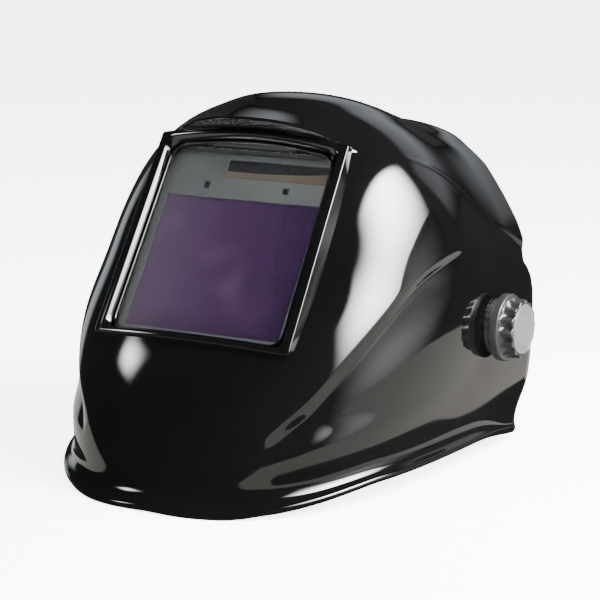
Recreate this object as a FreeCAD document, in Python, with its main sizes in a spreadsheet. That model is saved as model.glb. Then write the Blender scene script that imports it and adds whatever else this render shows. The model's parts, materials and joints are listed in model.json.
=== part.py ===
import FreeCAD, Part
import math
import os
import re
import Sketcher
from FreeCAD import Placement, Rotation, Vector

# Welding helmet: a moulded shell with a self-darkening filter behind a proud window
# bezel, carried by tension knobs on an adjustable ratchet headgear.
# It lies as it does on a bench, on its chin lip and its two rear lower corners.
# X runs from the wearer's right to the wearer's left, the window faces -Y and +Z is up.
# Four frames are used, each about an X-parallel axis:
#   pivot frame   - at the tension knobs' axis, level with the bench
#   window frame  - at the filter's centre, x across, y up the window, z out of it
#   head frame    - the pivot frame leant back with the wearer's head
#   band frame    - the head frame leant again along the headband
# Millimetres and degrees throughout.

SIZES = {
    # shell
    "pivot_back": 34.9,
    "pivot_height": 77,
    "shell_half_width": 112.7,
    "shell_wall": 2.5,
    "lip_flare": 7.5,
    "lip_side_flare": 2,
    "lip_height": 6,
    "pivot_hole_radius": 5.25,
    # window
    "window_ahead": 120,
    "window_above": 44,
    "window_lean": 56.2,
    "bezel_half_width": 62,
    "bezel_bottom": -49.7,
    "bezel_back": -10,
    "bezel_crown": 13.5,
    "bezel_corner": 9,
    "brow_foot": 73,
    "brow_corner": 76.4,
    "brow_ridge": 81.5,
    "brow_depth": 24,
    "opening_half_width": 53,
    "opening_bottom": -44.8,
    "opening_top": 68,
    "opening_corner": 8,
    "pocket_gap": 0.6,
    "pocket_front": 5.6,
    # filter cartridge
    "filter_half_width": 57,
    "filter_bottom": -46,
    "filter_top": 71,
    "filter_face": 1,
    "filter_split": -2,
    "filter_back": -10,
    "filter_wall": 2,
    "view_half_width": 50,
    "view_half_height": 40.8,
    "glass_margin": 3,
    "glass_depth": 5.4,
    "cover_lens_back": 3.2,
    "cover_lens_depth": 2,
    "seal_width": 2.5,
    "inner_lens_depth": 1,
    "solar_left": -16,
    "solar_right": 51,
    "solar_bottom": 54,
    "solar_top": 65,
    "solar_depth": 1.2,
    "sensor_spread": 26,
    "sensor_rise": 48.4,
    "sensor_half_width": 1.8,
    "board_bottom": 44.5,
    "board_depth": 1.6,
    "pod_bottom": -72,
    "pod_top": -42,
    "pod_back": -24,
    "pod_front": -10.6,
    "dial_pitch": 20,
    "dial_rise": -59,
    "dial_radius": 7,
    "dial_depth": 9,
    "dial_proud": 4,
    "battery_spread": 44,
    "battery_radius": 10,
    "battery_depth": 3.2,
    "battery_cap_radius": 11.4,
    "battery_cap_depth": 3.4,
    "coin_slot_length": 14,
    "coin_slot_width": 1.8,
    "coin_slot_depth": 1.6,
    "dial_mark_width": 1.2,
    "dial_mark_depth": 0.8,
    "control_gap": 0.3,
    "switch_across": -30,
    "switch_rise": 57,
    "switch_length": 8,
    "switch_width": 5,
    "switch_travel": 5,
    "switch_proud": 1.2,
    "button_radius": 4,
    "button_proud": 2,
    # retaining frame and its turn latches
    "retainer_half_width": 61.5,
    "retainer_inner": 53,
    "retainer_bottom": -40,
    "retainer_top": 74,
    "retainer_inner_top": 67,
    "retainer_front": -10.4,
    "retainer_depth": 2.6,
    "latch_across": 66,
    "latch_rise": 12,
    "latch_depth": 3,
    "latch_width": 9,
    "latch_inner_reach": 12,
    "latch_outer_reach": 4.5,
    "latch_post_width": 11,
    "latch_post_length": 12,
    "latch_post_height": 5,
    "latch_pin_radius": 2,
    "latch_pin_length": 6,
    # pivots
    "washer_radius": 16.5,
    "washer_inner_face": 112,
    "washer_depth": 4.4,
    "knob_face": 116.8,
    "knob_flange_radius": 19.7,
    "knob_flange_depth": 5.5,
    "knob_radius": 17.2,
    "knob_depth": 14.2,
    "knob_flutes": 14,
    "knob_flute_radius": 1.6,
    "knob_cap_radius": 14.8,
    "knob_cap_depth": 2,
    "nut_across": 16,
    "nut_depth": 8,
    "bolt_radius": 5.2,
    "nut_bore_radius": 5.25,
    "nut_seat_radius": 9.3,
    "nut_seat_depth": 9.6,
    "bolt_head_radius": 9,
    "bolt_head_face": 96.6,
    "bolt_head_depth": 3.6,
    "bolt_end": 126,
    "arm_face": 100.5,
    "arm_depth": 3.5,
    "arm_radius": 15,
    "stop_face": 104.3,
    "stop_depth": 2.2,
    "stop_reach": 27,
    "friction_face": 106.6,
    "friction_depth": 1.8,
    "friction_radius": 14,
    # slide blocks that set the eye relief
    "rail_face": 88,
    "rail_depth": 4,
    "rail_front": -40,
    "rail_rear": 24,
    "rail_low": -5,
    "rail_tall": 14,
    "neck_front": -32,
    "neck_length": 16,
    "neck_low": -3,
    "neck_tall": 10,
    "block_face": 80.4,
    "block_depth": 15.1,
    "block_front": -28,
    "block_length": 54,
    "block_low": -9,
    "block_tall": 22,
    "rivet_radius": 2.9,
    "rivet_rise": 6,
    "rivet_front": -18,
    "rivet_rear": 16,
    # headband
    "head_lean": -12,
    "band_lean": -14,
    "band_rise": 8,
    "band_half_width": 78,
    "band_front_radius": 98,
    "band_wall": 2,
    "band_tall": 22,
    "brow_tall": 36,
    "brow_reach": 30,
    "band_middle": 15,
    "rear_middle": 35,
    "band_wrap": 42,
    "brow_pad_depth": 9,
    "brow_pad_tall": 32,
    "brow_pad_reach": -20,
    "crown_half_width": 74.2,
    "crown_height": 97,
    "crown_base": 8,
    "crown_wall": 1.8,
    "crown_strap_width": 22,
    "crown_front_place": 4,
    "crown_rear_place": 30,
    # ratchet
    "strap_wall": 1.8,
    "strap_tall": 24,
    "strap_outer_radius": 77.7,
    "strap_start": 27,
    "strap_end": 106,
    "slot_half_angle": 13,
    "slot_half_tall": 7.2,
    "pinion_pitch_radius": 6,
    "pinion_teeth": 10,
    "tooth_height": 1.4,
    "tooth_gap": 0.45,
    "ratchet_half_width": 34,
    "ratchet_tall": 34,
    "ratchet_wall": 2.4,
    "ratchet_base_radius": 73.3,
    "ratchet_cover_radius": 78.2,
    "ratchet_rear_radius": 81.4,
    "ratchet_knob_face": 82,
    "ratchet_knob_radius": 17,
    "ratchet_knob_depth": 15,
    "ratchet_knob_flutes": 10,
    "ratchet_flute_place": 18.5,
    "ratchet_flute_radius": 3,
    "ratchet_flute_depth": 12,
    "shaft_radius": 3,
    "shaft_bore_radius": 3.05,
    "rear_pad_depth": 8,
    "rear_pad_tall": 30,
    "rear_pad_half_width": 36,
}

# The shell bulges as a ring of superellipses about the pivot axis. For each direction,
# in degrees up from straight ahead: how far its middle stands from that axis.
PROFILE_ANGLES = (-40, -20, 0, 20, 40, 60, 80, 100, 125, 180, 240)
PROFILE_RADII = (241, 204, 162, 133.5, 139, 148, 133, 120, 129, 265, 177)
# and how square its section is, from 2 for an ellipse upwards.
SQUARE_ANGLES = (-40, 10, 50, 90, 180)
SQUARENESS = (1.95, 3.45, 2.66, 2.19, 3.0)
# The bulge is lofted through rings of points that start at its lower rear.
BULGE_RINGS = 17
BULGE_STEPS = 48
BULGE_START = 225
BULGE_GATHER = 0.8
BULGE_FLAT = 0.985

# Side view of the shell's rim in the pivot frame, (back, up), from the chin round the
# lower edge to the rear corner and up the rear edge.
LOWER_RIM = (
    (-230, -75),
    (-200, -76.8),
    (-168, -77),
    (-137, -74),
    (-108, -63),
    (-60, -62),
    (-5, -67),
    (40, -77),
)
REAR_RIM = ((47, -72), (52.5, -45), (54, 6), (46, 48), (54, 88), (78, 123), (90, 150))

UP = Vector(0, 0, 1)
LEFT = Vector(1, 0, 0)
BACK = Vector(0, 1, 0)
SIDES = {"left": 1, "right": -1}

doc = FreeCAD.newDocument("WeldingHelmet")
sheet = doc.addObject("Spreadsheet::Sheet", "Sizes")
for row, (alias, number) in enumerate(SIZES.items(), start=1):
    sheet.set(f"A{row}", alias)
    sheet.set(f"B{row}", str(number))
    sheet.setAlias(f"B{row}", alias)
doc.recompute()

nodes = []


def size(alias):
    """The value of one cell of the sheet."""
    return float(sheet.get(alias))


def linked(text):
    """An expression on the sheet's cells, from their bare aliases."""
    def cell(word):
        return "Sizes." + word[0] if word[0] in SIZES else word[0]

    return re.sub(r"[a-z_]{3,}", cell, str(text))


def value(text):
    """What such an expression is worth now."""
    return float(sheet.evalExpression(linked(text)))


def point(across, along, up):
    return Vector(value(across), value(along), value(up))


def bind(target, **expressions):
    for name, text in expressions.items():
        target.setExpression(name, linked(text))


# ---------------------------------------------------------------- frames

pivot_frame = Placement(point(0, "pivot_back", "pivot_height"), Rotation())
window_frame = pivot_frame * Placement(
    point(0, "-window_ahead", "window_above"), Rotation(LEFT, size("window_lean"))
)
head_frame = pivot_frame * Placement(Vector(), Rotation(LEFT, size("head_lean")))
band_frame = head_frame * Placement(Vector(), Rotation(LEFT, size("band_lean")))
band_frame = band_frame * Placement(point(0, 0, "band_rise"), Rotation())


def outward(side):
    """At the pivot, with the local +Z pointing out of the shell on that side."""
    turn = Rotation(BACK, 90 * SIDES[side])
    return pivot_frame * Placement(Vector(), turn)


def node(target, label, frame):
    """Names a finished sub-part and puts it in its frame."""
    target.Label = label
    target.Placement = frame
    nodes.append(target)
    return target


# ---------------------------------------------------------------- primitives

def box(name, low, high):
    """A block between two corners, each given as three expressions."""
    block = doc.addObject("Part::Box", name)
    spans = [f"({end}) - ({start})" for start, end in zip(low, high)]
    bind(block, Length=spans[0], Width=spans[1], Height=spans[2])
    for letter, start in zip("xyz", low):
        bind(block, **{f"Placement.Base.{letter}": str(start)})
    return block


def cylinder(name, radius, height, foot=(0, 0, 0), axis=UP):
    rod = doc.addObject("Part::Cylinder", name)
    bind(rod, Radius=radius, Height=height)
    rod.Placement = Placement(point(*foot), Rotation(UP, axis))
    return rod


def oval(name, half_width, half_length, height, foot=(0, 0, 0), turn=Rotation()):
    """An upright elliptic cylinder: half_width across, half_length along."""
    outline = doc.addObject("Part::Ellipse", name + "_outline")
    wide = value(half_width) >= value(half_length)
    major, minor = (half_width, half_length) if wide else (half_length, half_width)
    bind(outline, MajorRadius=major, MinorRadius=minor)
    outline.Placement = Placement(point(*foot), turn * Rotation(UP, 0 if wide else 90))
    body = doc.addObject("Part::Extrusion", name)
    body.Base = outline
    body.DirMode = "Custom"
    body.Dir = turn.multVec(UP)
    body.Solid = True
    bind(body, LengthFwd=height)
    return body


def cut(name, base, *tools):
    result = doc.addObject("Part::Cut", name)
    result.Base = base
    result.Tool = tools[0] if len(tools) == 1 else join(name + "_tools", *tools)
    return result


def join(name, *pieces):
    result = doc.addObject("Part::MultiFuse", name)
    result.Shapes = list(pieces)
    return result


def shared(name, *pieces):
    result = doc.addObject("Part::MultiCommon", name)
    result.Shapes = list(pieces)
    return result


def group(name, *pieces):
    """Separate solids that are handled as one node."""
    result = doc.addObject("Part::Compound", name)
    result.Links = list(pieces)
    return result


# ---------------------------------------------------------------- sketched bodies

def new_sketch(body, name, role, offset=0):
    sketch = body.newObject("Sketcher::SketchObject", name)
    plane = next(item for item in body.Origin.OriginFeatures if item.Role == role)
    sketch.AttachmentSupport = (plane, "")
    sketch.MapMode = "FlatFace"
    bind(sketch, **{"AttachmentOffset.Base.z": str(offset)})
    return sketch


def draw_outline(sketch, corners):
    """A closed outline of straight edges, each corner bound to the sheet."""
    first = sketch.GeometryCount
    count = len(corners)
    places = [Vector(value(x), value(y), 0) for x, y in corners]
    for index in range(count):
        sketch.addGeometry(Part.LineSegment(places[index], places[(index + 1) % count]))
    for index in range(count):
        after = first + (index + 1) % count
        sketch.addConstraint(Sketcher.Constraint("Coincident", first + index, 2, after, 1))
    for index, corner in enumerate(corners):
        for kind, text in zip(("DistanceX", "DistanceY"), corner):
            rule = Sketcher.Constraint(kind, -1, 1, first + index, 1, value(text))
            number = sketch.addConstraint(rule)
            bind(sketch, **{f"Constraints[{number}]": str(text)})


def draw_circle(sketch, across, up, radius):
    centre = Vector(value(across), value(up), 0)
    ring = sketch.addGeometry(Part.Circle(centre, UP, value(radius)))
    rules = (("DistanceX", across), ("DistanceY", up))
    for kind, text in rules:
        number = sketch.addConstraint(Sketcher.Constraint(kind, -1, 1, ring, 3, value(text)))
        bind(sketch, **{f"Constraints[{number}]": str(text)})
    number = sketch.addConstraint(Sketcher.Constraint("Radius", ring, value(radius)))
    bind(sketch, **{f"Constraints[{number}]": str(radius)})


def rectangle(left, bottom, right, top):
    return ((left, bottom), (right, bottom), (right, top), (left, top))


def pad(body, name, depth, offset=0, outlines=(), circles=(), cuts=False):
    """Adds a prism that rises from offset above the XY plane, or cuts one down from it."""
    sketch = new_sketch(body, name + "_sketch", "XY_Plane", offset)
    for corners in outlines:
        draw_outline(sketch, corners)
    for circle in circles:
        draw_circle(sketch, *circle)
    doc.recompute()
    feature = body.newObject("PartDesign::Pocket" if cuts else "PartDesign::Pad", name)
    feature.Profile = (sketch, [""])
    bind(feature, Length=depth)
    doc.recompute()
    return feature


def revolve(body, name, corners):
    """Turns an outline of (radius, height) corners about the body's Z axis."""
    sketch = new_sketch(body, name + "_sketch", "XZ_Plane")
    draw_outline(sketch, corners)
    doc.recompute()
    feature = body.newObject("PartDesign::Revolution", name)
    feature.Profile = (sketch, [""])
    feature.ReferenceAxis = (sketch, ["V_Axis"])
    feature.Angle = 360
    doc.recompute()
    return feature


def scallops(body, name, place, radius, depth, top, count):
    """Grooves evenly spaced round a knob's edge, cut down from top."""
    groove = pad(body, name, depth, top, circles=[(place, 0, radius)], cuts=True)
    pattern = body.newObject("PartDesign::PolarPattern", name + "_pattern")
    pattern.Originals = [groove]
    pattern.Axis = (groove.Profile[0], ["N_Axis"])
    pattern.Angle = 360
    bind(pattern, Occurrences=count)
    body.Tip = pattern
    doc.recompute()


def sketched(name):
    return doc.addObject("PartDesign::Body", name)


# ---------------------------------------------------------------- shell surface

def around(angles, values, angle):
    """A smooth closed curve through values at angles, in degrees, read at angle."""
    count = len(angles)
    angle = (angle - angles[0]) % 360 + angles[0]
    index = max(i for i in range(count) if angles[i] <= angle)

    def knot(i):
        return angles[i % count] + 360 * (i // count), values[i % count]

    (a0, v0), (a1, v1), (a2, v2), (a3, v3) = (knot(index + step) for step in (-1, 0, 1, 2))
    span = a2 - a1
    t = (angle - a1) / span
    slope1 = (v2 - v0) / (a2 - a0) * span
    slope2 = (v3 - v1) / (a3 - a1) * span
    rise = t * t * (3 - 2 * t)
    return v1 * (1 - rise) + v2 * rise + t * (1 - t) * ((1 - t) * slope1 - t * slope2)


def bulge(grow, side_grow):
    """The closed bubble that the shell is cut from, grown outwards all round.

    Its rings lie closer towards the sides, where it ends in a small flat.
    """
    half_width = size("shell_half_width") + side_grow
    last = math.asin(BULGE_FLAT ** (1 / BULGE_GATHER))
    sections = []
    for ring in range(BULGE_RINGS):
        share = math.sin((2 * ring / (BULGE_RINGS - 1) - 1) * last)
        across = math.copysign(abs(share) ** BULGE_GATHER, share)
        row = []
        for step in range(BULGE_STEPS):
            angle = BULGE_START + 360 * step / BULGE_STEPS
            power = around(SQUARE_ANGLES, SQUARENESS, angle)
            reach = around(PROFILE_ANGLES, PROFILE_RADII, angle) + grow
            reach *= (1 - abs(across) ** power) ** (1 / power)
            turn = math.radians(angle)
            back, up = -reach * math.cos(turn), reach * math.sin(turn)
            row.append(Vector(across * half_width, back, up))
        curve = Part.BSplineCurve()
        curve.interpolate(Points=row, PeriodicFlag=True)
        sections.append(Part.Wire([curve.toShape()]))
    return Part.makeLoft(sections, True, False)


def side_prism(curves):
    """A prism right across the helmet from a closed chain of side-view edges."""
    reach = 200
    outline = Part.Face(Part.Wire(Part.__sortEdges__(curves)))
    outline.translate(Vector(-reach, 0, 0))
    return outline.extrude(Vector(2 * reach, 0, 0))


def side_spline(places):
    curve = Part.BSplineCurve()
    curve.interpolate([Vector(0, back, up) for back, up in places])
    return curve.toShape()


def side_line(start, end):
    return Part.LineSegment(Vector(0, *start), Vector(0, *end)).toShape()


def trim_prism():
    """Everything above the lower rim and in front of the rear rim."""
    low = side_spline(LOWER_RIM)
    rear = side_spline(REAR_RIM)
    roof = 220
    front = LOWER_RIM[0][0]
    corner = side_line(LOWER_RIM[-1], REAR_RIM[0])
    crown = (REAR_RIM[-1][0], roof)
    top = (side_line(REAR_RIM[-1], crown), side_line(crown, (front, roof)))
    return side_prism([low, corner, rear, *top, side_line((front, roof), LOWER_RIM[0])])


def lip_prism():
    """The band along the lower rim that the flared lip fills."""
    raised = [(back, up + size("lip_height")) for back, up in LOWER_RIM]
    ends = (side_line(LOWER_RIM[-1], raised[-1]), side_line(LOWER_RIM[0], raised[0]))
    return side_prism([side_spline(LOWER_RIM), side_spline(raised), *ends])


def window_box(half_width, bottom, top, back, front):
    low = Vector(-half_width, bottom, back)
    return Part.makeBox(2 * half_width, top - bottom, front - back, low)


def bezel_block():
    """The proud window surround and the brow above it, in the window frame."""
    half = size("bezel_half_width")
    stations = [half * share for share in (-1, -0.75, -0.5, -0.25, 0, 0.25, 0.5, 0.75, 1)]
    sections = []
    for across in stations:
        share = 1 - (across / half) ** 2
        face = size("bezel_corner") + (size("bezel_crown") - size("bezel_corner")) * share
        ridge = size("brow_corner") + (size("brow_ridge") - size("brow_corner")) * share
        proud = size("bezel_corner") + (size("brow_depth") - size("bezel_corner")) * share
        outline = [
            (size("bezel_bottom"), size("bezel_back")),
            (size("bezel_bottom"), face),
            (size("brow_foot"), face),
            (ridge, proud + 0.5),
            (ridge + 4, proud - 3),
            (ridge + 8, size("bezel_back")),
        ]
        corners = [Vector(across, along, out) for along, out in outline]
        sections.append(Part.makePolygon(corners + corners[:1]))
    return Part.makeLoft(sections, True, False)


def rounded_opening():
    """The window's opening, with rounded corners."""
    hole = window_box(
        size("opening_half_width"), size("opening_bottom"), size("opening_top"), 0, 60
    )
    upright = [edge for edge in hole.Edges if abs(edge.tangentAt(edge.FirstParameter).z) > 0.9]
    return hole.makeFillet(size("opening_corner"), upright)


def helmet_shell():
    wall = size("shell_wall")
    hollow = bulge(-wall, -wall)
    lip = bulge(size("lip_flare"), size("lip_side_flare")).common(lip_prism())
    skin = bulge(0, 0).common(trim_prism())
    into_pivot = pivot_frame.inverse() * window_frame
    gap = size("pocket_gap")
    pocket = window_box(
        size("filter_half_width") + gap,
        size("filter_bottom") - gap,
        size("filter_top") + gap,
        -60,
        size("pocket_front"),
    )
    posts = []
    for turn in SIDES.values():
        foot = Vector(turn * size("latch_across"), size("latch_rise"), size("bezel_back"))
        wide = size("latch_post_width")
        long = size("latch_post_length")
        tall = size("latch_post_height")
        post = Part.makeBox(wide, long, tall, foot - Vector(wide / 2, long / 2, 0))
        posts.append(post.cut(Part.makeCylinder(size("latch_pin_radius") + 0.05, tall - 1, foot)))
    window = bezel_block().fuse(posts)
    window.Placement = into_pivot
    tools = [pocket, rounded_opening()]
    for tool in tools:
        tool.Placement = into_pivot * tool.Placement
    shape = skin.fuse(lip).cut(hollow).fuse(window).cut(tools)
    bore = size("pivot_hole_radius")
    shape = shape.cut(Part.makeCylinder(bore, 300, Vector(-150, 0, 0), LEFT))
    return shape.removeSplitter()


shell = doc.addObject("Part::Feature", "helmet_shell")
shell.Shape = helmet_shell()
node(shell, "helmet_shell", pivot_frame)


# ---------------------------------------------------------------- window and filter

FILTER_EDGE = rectangle("-filter_half_width", "filter_bottom", "filter_half_width", "filter_top")
VIEW_EDGE = rectangle("-view_half_width", "-view_half_height", "view_half_width", "view_half_height")


def grown(edge, gap):
    """A rectangle moved outwards all round by gap."""
    (left, bottom), (right, top) = edge[0], edge[2]
    return rectangle(
        f"{left} - ({gap})", f"{bottom} - ({gap})", f"{right} + {gap}", f"{top} + {gap}"
    )


def block_edge(across, rise, wide, tall):
    """A rectangle about its middle."""
    return rectangle(
        f"{across} - {wide} / 2",
        f"{rise} - {tall} / 2",
        f"{across} + {wide} / 2",
        f"{rise} + {tall} / 2",
    )


def inset(name, depth, start, outlines=(), circles=()):
    """A flat piece in the window frame, from start outwards by depth."""
    body = sketched(name)
    pad(body, name + "_pad", depth, start, outlines, circles)
    node(body, name, window_frame)
    return body


inset("front_cover_lens", "cover_lens_depth", "cover_lens_back", [FILTER_EDGE])

SEAL_HOLE = grown(FILTER_EDGE, "-seal_width")
inset(
    "lens_seal",
    "cover_lens_back - filter_face - 0.2",
    "filter_face + 0.1",
    [FILTER_EDGE, SEAL_HOLE],
)

sensor_width = "2 * sensor_half_width"
SENSOR_EDGES = [
    block_edge(f"{turn} * sensor_spread", "sensor_rise", sensor_width, sensor_width)
    for turn in SIDES.values()
]
sensor_holes = [grown(edge, 0.2) for edge in SENSOR_EDGES]
front_housing = inset(
    "filter_housing_front",
    "filter_face - filter_split",
    "filter_split",
    [FILTER_EDGE, VIEW_EDGE, *sensor_holes],
)
SOLAR_EDGE = rectangle("solar_left", "solar_bottom", "solar_right", "solar_top")
pad(front_housing, "solar_pocket", "solar_depth", "filter_face", [SOLAR_EDGE], cuts=True)

inset(
    "solar_cell",
    "solar_depth - 0.3",
    "filter_face - solar_depth + 0.1",
    [grown(SOLAR_EDGE, -0.2)],
)
inset("arc_sensors", "filter_face - filter_split + 1", "filter_split - 1.2", SENSOR_EDGES)

glass = inset("lcd_filter", "-filter_split", "filter_split", [grown(VIEW_EDGE, -0.1)])
GLASS_EDGE = grown(VIEW_EDGE, "glass_margin")
pad(glass, "glass_stack", "glass_depth + filter_split - 0.1", "-glass_depth", [GLASS_EDGE])

rear_housing = inset(
    "filter_housing_rear", "filter_split - filter_back - 0.1", "filter_back", [FILTER_EDGE, VIEW_EDGE]
)
INNER_EDGE = rectangle(
    "filter_wall - filter_half_width",
    "filter_bottom + filter_wall / 2",
    "filter_half_width - filter_wall",
    "filter_top - filter_wall",
)
pad(
    rear_housing,
    "housing_hollow",
    "filter_split - filter_back - filter_wall",
    "filter_split",
    [INNER_EDGE],
    cuts=True,
)
POD_EDGE = rectangle("-filter_half_width", "pod_bottom", "filter_half_width", "pod_top")
pad(rear_housing, "control_pod", "pod_front - pod_back", "pod_back", [POD_EDGE])
POD_FOOT = rectangle("-filter_half_width", "filter_bottom", "filter_half_width", "pod_top")
pad(rear_housing, "pod_foot", "filter_back - pod_front + 0.5", "pod_front - 0.1", [POD_FOOT])
DIALS = {"sensitivity_dial": -1, "shade_dial": 0, "delay_dial": 1}
dial_pits = [
    (f"{turn} * dial_pitch", "dial_rise", "dial_radius + control_gap") for turn in DIALS.values()
]
pad(
    rear_housing,
    "dial_pits",
    "dial_depth - dial_proud + control_gap",
    "pod_back + dial_depth - dial_proud + control_gap",
    circles=dial_pits,
    cuts=True,
)
cap_pits = [
    (f"{turn} * battery_spread", "dial_rise", "battery_cap_radius + control_gap")
    for turn in SIDES.values()
]
pad(
    rear_housing,
    "battery_pits",
    "battery_cap_depth + battery_depth + 0.9",
    "pod_back + battery_cap_depth + battery_depth + 0.9",
    circles=cap_pits,
    cuts=True,
)
SWITCH_SLOT = block_edge(
    "switch_across",
    "switch_rise",
    "(switch_length + switch_travel + 2 * control_gap)",
    "(switch_width + 2 * control_gap)",
)
BUTTON = ("-switch_across", "switch_rise", "button_radius")
button_hole = (*BUTTON[:2], "button_radius + control_gap")
filter_floor = "filter_back + filter_wall"
pad(rear_housing, "switch_slot", "filter_wall", filter_floor, [SWITCH_SLOT], cuts=True)
pad(rear_housing, "button_hole", "filter_wall", filter_floor, circles=[button_hole], cuts=True)

inset(
    "circuit_board",
    "board_depth",
    "filter_split - 3.2",
    [rectangle("-view_half_width", "board_bottom", "view_half_width", "filter_top - filter_wall - 1")],
)
inset(
    "inner_cover_lens",
    "inner_lens_depth",
    "filter_back - inner_lens_depth - 0.1",
    [rectangle("-view_half_width", "-view_half_height", "view_half_width", "view_half_height + 1")],
)
inset(
    "batteries",
    "battery_depth",
    "pod_back + battery_cap_depth + 0.4",
    circles=[(f"{turn} * battery_spread", "dial_rise", "battery_radius") for turn in SIDES.values()],
)
for side, turn in SIDES.items():
    across = f"{turn} * battery_spread"
    lid = (across, "dial_rise", "battery_cap_radius")
    cap = inset("battery_cap_" + side, "battery_cap_depth", "pod_back", circles=[lid])
    coin_slot = block_edge(across, "dial_rise", "coin_slot_length", "coin_slot_width")
    slot_floor = "pod_back + coin_slot_depth"
    pad(cap, "coin_slot_" + side, "coin_slot_depth", slot_floor, [coin_slot], cuts=True)
for name, turn in DIALS.items():
    across = f"{turn} * dial_pitch"
    rim = (across, "dial_rise", "dial_radius")
    dial = inset(name, "dial_depth", "pod_back - dial_proud", circles=[rim])
    mark = rectangle(
        f"{across} - dial_mark_width / 2",
        "dial_rise",
        f"{across} + dial_mark_width / 2",
        "dial_rise + dial_radius + 1",
    )
    mark_floor = "pod_back - dial_proud + dial_mark_depth"
    pad(dial, name + "_mark", "dial_mark_depth", mark_floor, [mark], cuts=True)
SLIDER = block_edge("switch_across", "switch_rise", "switch_length", "switch_width")
inset("grind_switch", "filter_wall + switch_proud", "filter_back - switch_proud", [SLIDER])
inset(
    "test_button",
    "filter_wall + button_proud - 0.4",
    "filter_back - button_proud",
    circles=[BUTTON],
)

# The retaining frame is an arch that leaves the control pod free.
RETAINER_EDGE = (
    ("-retainer_half_width", "retainer_bottom"),
    ("-retainer_inner", "retainer_bottom"),
    ("-retainer_inner", "retainer_inner_top"),
    ("retainer_inner", "retainer_inner_top"),
    ("retainer_inner", "retainer_bottom"),
    ("retainer_half_width", "retainer_bottom"),
    ("retainer_half_width", "retainer_top"),
    ("-retainer_half_width", "retainer_top"),
)
inset("retaining_frame", "retainer_depth", "retainer_front - retainer_depth", [RETAINER_EDGE])
latch_back = "retainer_front - retainer_depth - 0.2 - latch_depth"
pin_foot = "retainer_front - retainer_depth - latch_depth"
for side, turn in SIDES.items():
    reaches = ["latch_across - latch_inner_reach", "latch_across + latch_outer_reach"]
    ends = reaches if turn > 0 else [f"-({reach})" for reach in reversed(reaches)]
    lever = rectangle(
        ends[0], "latch_rise - latch_width / 2", ends[1], "latch_rise + latch_width / 2"
    )
    latch = inset("frame_latch_" + side, "latch_depth", latch_back, [lever])
    pin = (f"{turn} * latch_across", "latch_rise", "latch_pin_radius")
    pad(latch, "latch_pin_" + side, "latch_pin_length", pin_foot, circles=[pin])


# ---------------------------------------------------------------- pivots and knobs

def turned(name, frame, corners):
    body = sketched(name)
    revolve(body, name + "_turned", corners)
    node(body, name, frame)
    return body


def ring_section(inner, outer, start, depth):
    return rectangle(inner, start, outer, f"({start}) + ({depth})")


for side in SIDES:
    frame = outward(side)
    washer = ring_section("pivot_hole_radius", "washer_radius", "washer_inner_face", "washer_depth")
    turned("outer_washer_" + side, frame, washer)
    brake = ring_section("pivot_hole_radius", "friction_radius", "friction_face", "friction_depth")
    turned("friction_washer_" + side, frame, brake)

    bolt_corners = (
        (0, "bolt_head_face"),
        ("bolt_head_radius", "bolt_head_face"),
        ("bolt_head_radius", "bolt_head_face + bolt_head_depth"),
        ("bolt_radius", "bolt_head_face + bolt_head_depth"),
        ("bolt_radius", "bolt_end"),
        (0, "bolt_end"),
    )
    turned("pivot_bolt_" + side, frame, bolt_corners)

    knob_frame = frame * Placement(point(0, 0, "knob_face"), Rotation())
    knob = sketched("tension_knob_" + side)
    pad(knob, "knob_barrel_" + side, "knob_depth", circles=[(0, 0, "knob_radius")])
    seat = (0, 0, "nut_seat_radius")
    pad(knob, "nut_seat_" + side, "nut_seat_depth", "nut_seat_depth", circles=[seat], cuts=True)
    cap_seat = (0, 0, "knob_cap_radius + 0.1")
    pad(knob, "cap_seat_" + side, "knob_cap_depth", "knob_depth", circles=[cap_seat], cuts=True)
    scallops(
        knob,
        "knob_flute_" + side,
        "knob_radius + knob_flute_radius / 2",
        "knob_flute_radius",
        "knob_depth",
        "knob_depth",
        "knob_flutes",
    )
    flange = [(0, 0, "knob_flange_radius"), seat]
    pad(knob, "knob_flange_" + side, "knob_flange_depth", circles=flange)
    node(knob, "tension_knob_" + side, knob_frame)

    cap = sketched("knob_cap_" + side)
    cap_foot = "knob_depth - knob_cap_depth + 0.1"
    cap_rim = (0, 0, "knob_cap_radius")
    pad(cap, "cap_disc_" + side, "knob_cap_depth", cap_foot, circles=[cap_rim])
    node(cap, "knob_cap_" + side, knob_frame)

    nut = doc.addObject("Part::Prism", "nut_blank_" + side)
    nut.Polygon = 6
    bind(nut, Circumradius="nut_across / 2 / cos(30)", Height="nut_depth")
    bore = cylinder("nut_bore_" + side, "nut_bore_radius", "nut_depth + 2", (0, 0, -1))
    node(cut("knob_nut_" + side, nut, bore), "knob_nut_" + side,
         knob_frame * Placement(Vector(0, 0, 1), Rotation()))


def sided(side, low, high):
    """The corners of a block whose x runs outwards, put on the given side."""
    if side == "left":
        return low, high
    return (f"-({high[0]})", *low[1:]), (f"-({low[0]})", *high[1:])


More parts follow.
